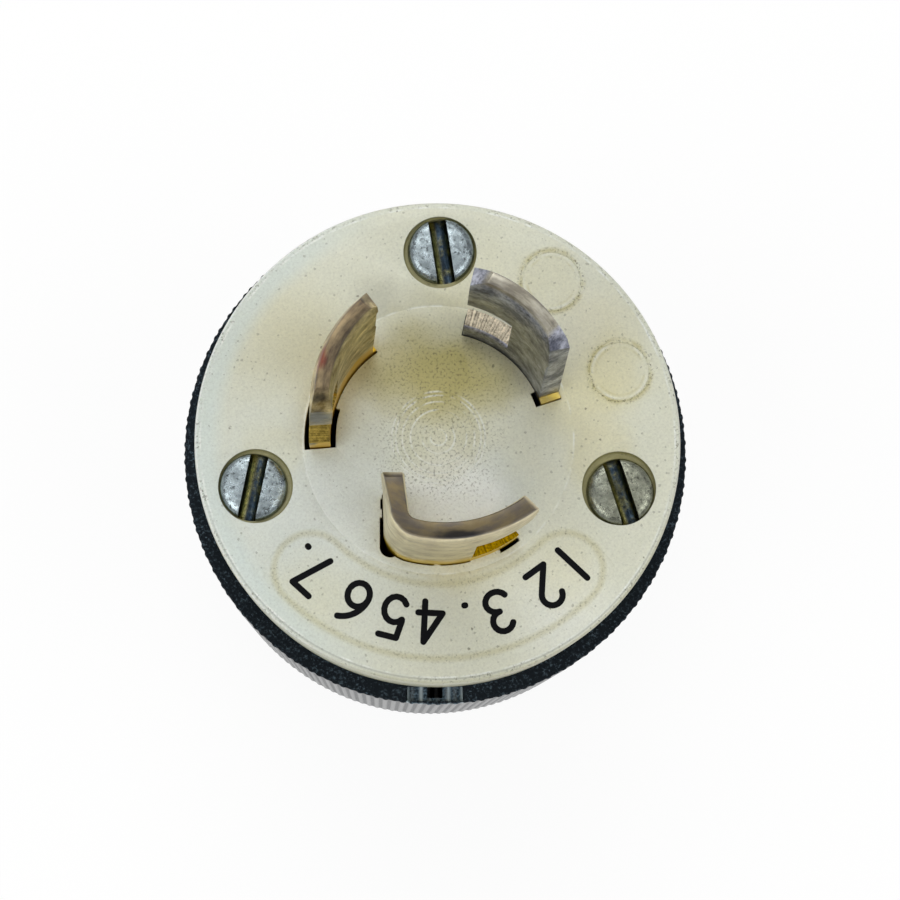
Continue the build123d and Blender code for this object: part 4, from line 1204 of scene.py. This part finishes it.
class PLUG_OT_assembly_screws(bpy.types.Operator):
    """Model one slotted assembly screw and copy it to its three holes"""
    bl_idname = "plug.assembly_screws"
    bl_label = "Assembly Screws"

    def execute(self, context):
        sizes = millimetres(context.scene.plug_lengths)
        head, top = sizes.screw_head, sizes.face_height + sizes.screw_rise
        seat, half = sizes.face_height - SEAT_DEPTH, sizes.screw_slot / 2
        screw = lathe("screw_pattern", [
            (SHANK_POINT, SHANK_END), (SHANK, SHANK_FULL), (SHANK, seat), (head - 0.12, seat),
            (head, seat + 0.12), *((head - inwards, top - down) for inwards, down in HEAD_ROUND)], 64)
        cutter = block("slot_cutter", (-SLOT_REACH, -half, top - SLOT_DEPTH), (SLOT_REACH, half, top + PAST))
        bevel_edges(cutter, lambda e: all(v.co.z < top for v in e.verts)
                    and abs(e.verts[0].co.y - e.verts[1].co.y) < NEAR, SLOT_ROUND * half, 6)
        combine(screw, cutter)
        break_edges(screw, 0.06, 2, math.radians(50))
        zinc = zinc_plating(context.scene)
        for side, (x, y), turned, (dx, dy) in SCREWS:
            piece = copy_of(screw, f"assembly_screw_{side}")
            place(piece, turned, (x + dx, y + dy, 0))
            finish(piece, [zinc], "assembly_screws")
        bpy.data.objects.remove(screw)
        return {"FINISHED"}


def arc_points(x, y, across, up, start, stop, count=14):
    """Points of an elliptic arc from one angle to another, in degrees."""
    steps = [math.radians(start + (stop - start) * i / (count - 1)) for i in range(count)]
    return [(x + across * math.cos(a), y + up * math.sin(a)) for a in steps]


# Strokes of plain sequential numbers, a unit high, about an upright middle line
NUMERALS = {
    "1": [[(0, 0), (0, 1)]],
    "2": [arc_points(0, 0.74, 0.26, 0.26, 165, -38) + [(-0.27, 0)], [(-0.27, 0), (0.28, 0)]],
    "3": [arc_points(0, 0.75, 0.25, 0.25, 155, -90), arc_points(0, 0.25, 0.28, 0.25, 90, -155)],
    "4": [[(0.14, 0), (0.14, 1)], [(0.14, 1), (-0.3, 0.28)], [(-0.3, 0.28), (0.3, 0.28)]],
    "5": [[(0.25, 1), (-0.2, 1)], [(-0.2, 1), (-0.24, 0.56)], arc_points(-0.02, 0.32, 0.28, 0.32, 140, -145)],
    "6": [arc_points(0, 0.3, 0.27, 0.3, 0, 345, 22), arc_points(0.42, 0.3, 0.69, 0.72, 105, 180)],
    "7": [[(-0.27, 1), (0.27, 1)], [(0.27, 1), (-0.08, 0)]],
    ".": [[(-0.012, 0.14), (0.012, 0.14)]],
}
# Each sign and its bearing in degrees
LAYOUT = (("1", -43.4), ("2", -54.3), ("3", -70.8), (".", -81.3),
          ("4", -92.8), ("5", -104.4), ("6", -117.0), ("7", -132.4), (".", -140.2))
# Insets that round a stroke's ends and how far each stands out, as shares of its half width
END_ROUND = ((0.12, 0.5), (0.28, 0.32), (0.3, 0.13))
# Share of a round stroke's thickness that is left when it is flattened
FLATTENED = 0.12


def draw_stroke(points, height, half):
    """A flat stroke with round ends, drawn through points that are given for a unit height."""
    begin("stroke", bpy.ops.mesh.primitive_plane_add, size=1)
    bpy.ops.mesh.merge(type="CENTER")
    (x0, y0), *rest = points
    bpy.ops.transform.translate(value=(x0 * height, y0 * height, 0))
    for x1, y1 in rest:
        bpy.ops.mesh.extrude_region_move(
            TRANSFORM_OT_translate={"value": ((x1 - x0) * height, (y1 - y0) * height, 0)})
        x0, y0 = x1, y1
    bpy.ops.object.mode_set(mode="OBJECT")
    bpy.ops.object.convert(target="CURVE")
    curve = bpy.context.object.data
    curve.dimensions = "3D"
    curve.bevel_depth = half
    curve.bevel_resolution = 3
    curve.use_fill_caps = True
    bpy.ops.object.convert(target="MESH")
    bpy.ops.object.mode_set(mode="EDIT")
    bpy.ops.mesh.select_all(action="SELECT")
    bpy.ops.mesh.remove_doubles(threshold=NEAR)
    pick("FACE", lambda f: len(f.verts) == 3)
    bpy.ops.mesh.dissolve_faces()
    for inset, out in END_ROUND:
        bpy.ops.mesh.inset(thickness=inset * half, depth=out * half, use_individual=True)
    bpy.ops.mesh.select_all(action="SELECT")
    bpy.ops.transform.resize(value=(1, 1, FLATTENED), center_override=(0, 0, 0))
    tidy_mesh()
    return bpy.context.object


class PLUG_OT_numerals(bpy.types.Operator):
    """Model the sunk black numerals round the foot of the face"""
    bl_idname = "plug.numerals"
    bl_label = "Numerals"

    def execute(self, context):
        sizes = millimetres(context.scene.plug_lengths)
        signs = []
        for sign, degrees in LAYOUT:
            # Numerals stand with their tops outwards
            turned = math.radians(degrees)
            where = (*polar(sizes.numeral_foot, turned), sizes.face_height - sizes.pad_depth)
            first, *others = [place(draw_stroke(points, sizes.numeral_height, sizes.stroke / 2),
                                    turned - math.pi / 2, where) for points in NUMERALS[sign]]
            for stroke in others:
                combine(first, stroke, "UNION")
            signs.append(first)
        numerals = join("face_numerals", signs)
        ink = grained("black_ink_fill", context.scene.plug_colours.ink, 0.3, 0.6,
                      **{"Specular IOR Level": 0.08})
        finish(numerals, [ink], None)
        return {"FINISHED"}


def dressed_copy(node, name, rounding):
    """Copy of a CAD node in millimetres, merged, cleared of needless edges and with its edges broken."""
    piece = bpy.data.objects.new(name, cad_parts[node].data.copy())
    bpy.context.scene.collection.objects.link(piece)
    piece.data.materials.clear()
    piece.scale = (1 / MM, 1 / MM, 1 / MM)
    with editing(place(piece)):
        bpy.ops.mesh.select_all(action="SELECT")
        bpy.ops.mesh.remove_doubles(threshold=NEAR)
        bpy.ops.mesh.dissolve_limited(angle_limit=math.radians(0.5))
    break_edges(piece, rounding, 3)
    return piece


class PLUG_OT_cord_clamp(bpy.types.Operator):
    """Dress the clamp jaws, their screws and nuts and the grommet with broken edges"""
    bl_idname = "plug.cord_clamp"
    bl_label = "Cord Clamp"

    def execute(self, context):
        black = bpy.data.materials["black_nylon_grit"]
        zinc = grained("zinc_plated_steel", context.scene.plug_colours.zinc, 0.5, 0.35, Metallic=1.0)
        rubber = grained("black_rubber", linear("#1B1B1C"), 0.4, 0.75, IOR=1.52)
        for node, name, rounding, material, slot in (
                ("right_clamp_jaw", "right_jaw_moulding", 0.3, black, "black_nylon"),
                ("left_clamp_jaw", "left_jaw_moulding", 0.3, black, "black_nylon"),
                ("cord_grommet", "cord_grommet_moulding", 0.3, rubber, "black_rubber"),
                ("clamp_screws", "clamp_screw_pair", 0.15, zinc, "zinc_plated_steel"),
                ("clamp_nuts", "clamp_nut_pair", 0.12, zinc, "zinc_plated_steel")):
            finish(dressed_copy(node, name, rounding), [material], node)
        return {"FINISHED"}


class PLUG_OT_inner_parts(bpy.types.Operator):
    """Give the terminal parts inside the housing their finishes"""
    bl_idname = "plug.inner_parts"
    bl_label = "Inner Parts"

    def execute(self, context):
        brass = grained("brass_plain", context.scene.plug_colours.brass, 0.4, 0.32, Metallic=1.0)
        zinc = bpy.data.materials["zinc_plated_steel"]
        white = grained("white_nylon", linear("#DCDBD3"), 0.5, 0.45, IOR=1.53)
        green = grained("green_dyed_zinc", linear("#1F7A3C"), 0.4, 0.4, Metallic=0.6)
        finishes = {"terminal_block": white, "line_clamp_plate": brass, "neutral_clamp_plate": brass,
                    "ground_clamp_plate": brass, "line_terminal_screw": brass, "neutral_terminal_screw": zinc,
                    "ground_terminal_screw": green, "threaded_inserts": brass}
        for node, material in finishes.items():
            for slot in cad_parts[node].material_slots:
                slot.material = material
        return {"FINISHED"}


# Places, sizes and powers of the soft lamps, in metres and watts, and the point that they face
LAMPS = (
    ("lamp_left", (-0.38, -0.19, 0.68), 0.45, 1.35),
    ("lamp_right", (0.40, -0.15, 0.68), 0.45, 1.1),
    ("lamp_back", (-0.07, 0.42, 0.68), 0.55, 1.8),
)
LAMP_TARGET = Vector((0, 0, 0.04))
# Tones of the room from level to straight up, their strength, and the width of the floor in metres
ROOM_TONES = [(0.0, (0.85, 0.85, 0.84, 1)), (0.55, (0.75, 0.76, 0.77, 1)), (0.95, (0.4, 0.4, 0.42, 1))]
ROOM_STRENGTH, FLOOR_WIDTH = 0.62, 4
# The camera's place in metres, its sensor and lens in millimetres, and its tilt and roll
CAMERA_PLACE, CAMERA_SENSOR, CAMERA_LENS = (-0.0043325, -0.0246457, 0.2127924), 36.0, 87.96
CAMERA_TILT, CAMERA_ROLL = math.radians(-8.32), math.radians(1.81)


class PLUG_OT_stage(bpy.types.Operator):
    """Set the floor, the soft lamps, the world and the camera"""
    bl_idname = "plug.stage"
    bl_label = "Stage"

    def execute(self, context):
        scene = context.scene
        deselect_all()
        bpy.ops.mesh.primitive_plane_add(size=FLOOR_WIDTH)
        floor = context.object
        floor.name = "floor"
        floor.data.materials.append(floor_white(scene.plug_colours))
        for name, where, size, power in LAMPS:
            bpy.ops.object.light_add(type="AREA", location=where)
            lamp = context.object
            lamp.name = name
            lamp.data.shape = "DISK"
            lamp.data.size = size
            lamp.data.energy = power
            lamp.rotation_euler = (LAMP_TARGET - Vector(where)).to_track_quat("-Z", "Y").to_euler()
        world = bpy.data.worlds.new("soft_room")
        scene.world = world
        world.use_nodes = True
        node = partial(add_node, world.node_tree)
        direction = node("TexCoord").outputs["Generated"]
        up = node("SeparateXYZ", {0: direction})
        tone = node("ValToRGB", {0: up.outputs["Z"]}, stops=ROOM_TONES)
        wire(world.node_tree.nodes["Background"], {"Color": tone, "Strength": ROOM_STRENGTH})
        bpy.ops.object.camera_add()
        camera = context.object
        camera.name = "camera"
        camera.data.sensor_width = CAMERA_SENSOR
        camera.data.lens = CAMERA_LENS
        camera.data.clip_start = 0.01
        facing = Matrix.Rotation(CAMERA_ROLL, 3, "Y") @ Matrix.Rotation(CAMERA_TILT, 3, "X")
        camera.matrix_world = Matrix.Translation(CAMERA_PLACE) @ facing.transposed().to_4x4()
        scene.camera = camera
        scene.view_settings.view_transform = "Standard"
        return {"FINISHED"}


OPERATORS = (PLUG_OT_front_body, PLUG_OT_housing, PLUG_OT_blades, PLUG_OT_assembly_screws, PLUG_OT_numerals,
             PLUG_OT_cord_clamp, PLUG_OT_inner_parts, PLUG_OT_stage)


class PLUG_PT_panel(bpy.types.Panel):
    """Lists the plug's settings and its pieces"""
    bl_idname = "PLUG_PT_panel"
    bl_label = "Locking Plug"
    bl_space_type = "VIEW_3D"
    bl_region_type = "UI"
    bl_category = "Plug"

    def draw(self, context):
        for group in (context.scene.plug_lengths, context.scene.plug_angles, context.scene.plug_colours):
            for key in group.__annotations__:
                self.layout.prop(group, key)
        for operator in OPERATORS:
            self.layout.operator(operator.bl_idname)


CLASSES = (PlugLengths, PlugAngles, PlugColours, *OPERATORS, PLUG_PT_panel)


def register():
    """Registers the classes and puts the settings on the scene."""
    for cls in CLASSES:
        bpy.utils.register_class(cls)
    bpy.types.Scene.plug_lengths = PointerProperty(type=PlugLengths)
    bpy.types.Scene.plug_angles = PointerProperty(type=PlugAngles)
    bpy.types.Scene.plug_colours = PointerProperty(type=PlugColours)


def unregister():
    """Takes the settings off the scene and the classes out again."""
    del bpy.types.Scene.plug_lengths
    del bpy.types.Scene.plug_angles
    del bpy.types.Scene.plug_colours
    for cls in reversed(CLASSES):
        bpy.utils.unregister_class(cls)


def main():
    """Builds every piece."""
    register()
    bpy.ops.plug.front_body()
    bpy.ops.plug.housing()
    bpy.ops.plug.blades()
    bpy.ops.plug.assembly_screws()
    bpy.ops.plug.numerals()
    bpy.ops.plug.cord_clamp()
    bpy.ops.plug.inner_parts()
    bpy.ops.plug.stage()


if __name__ == "__main__":
    main()
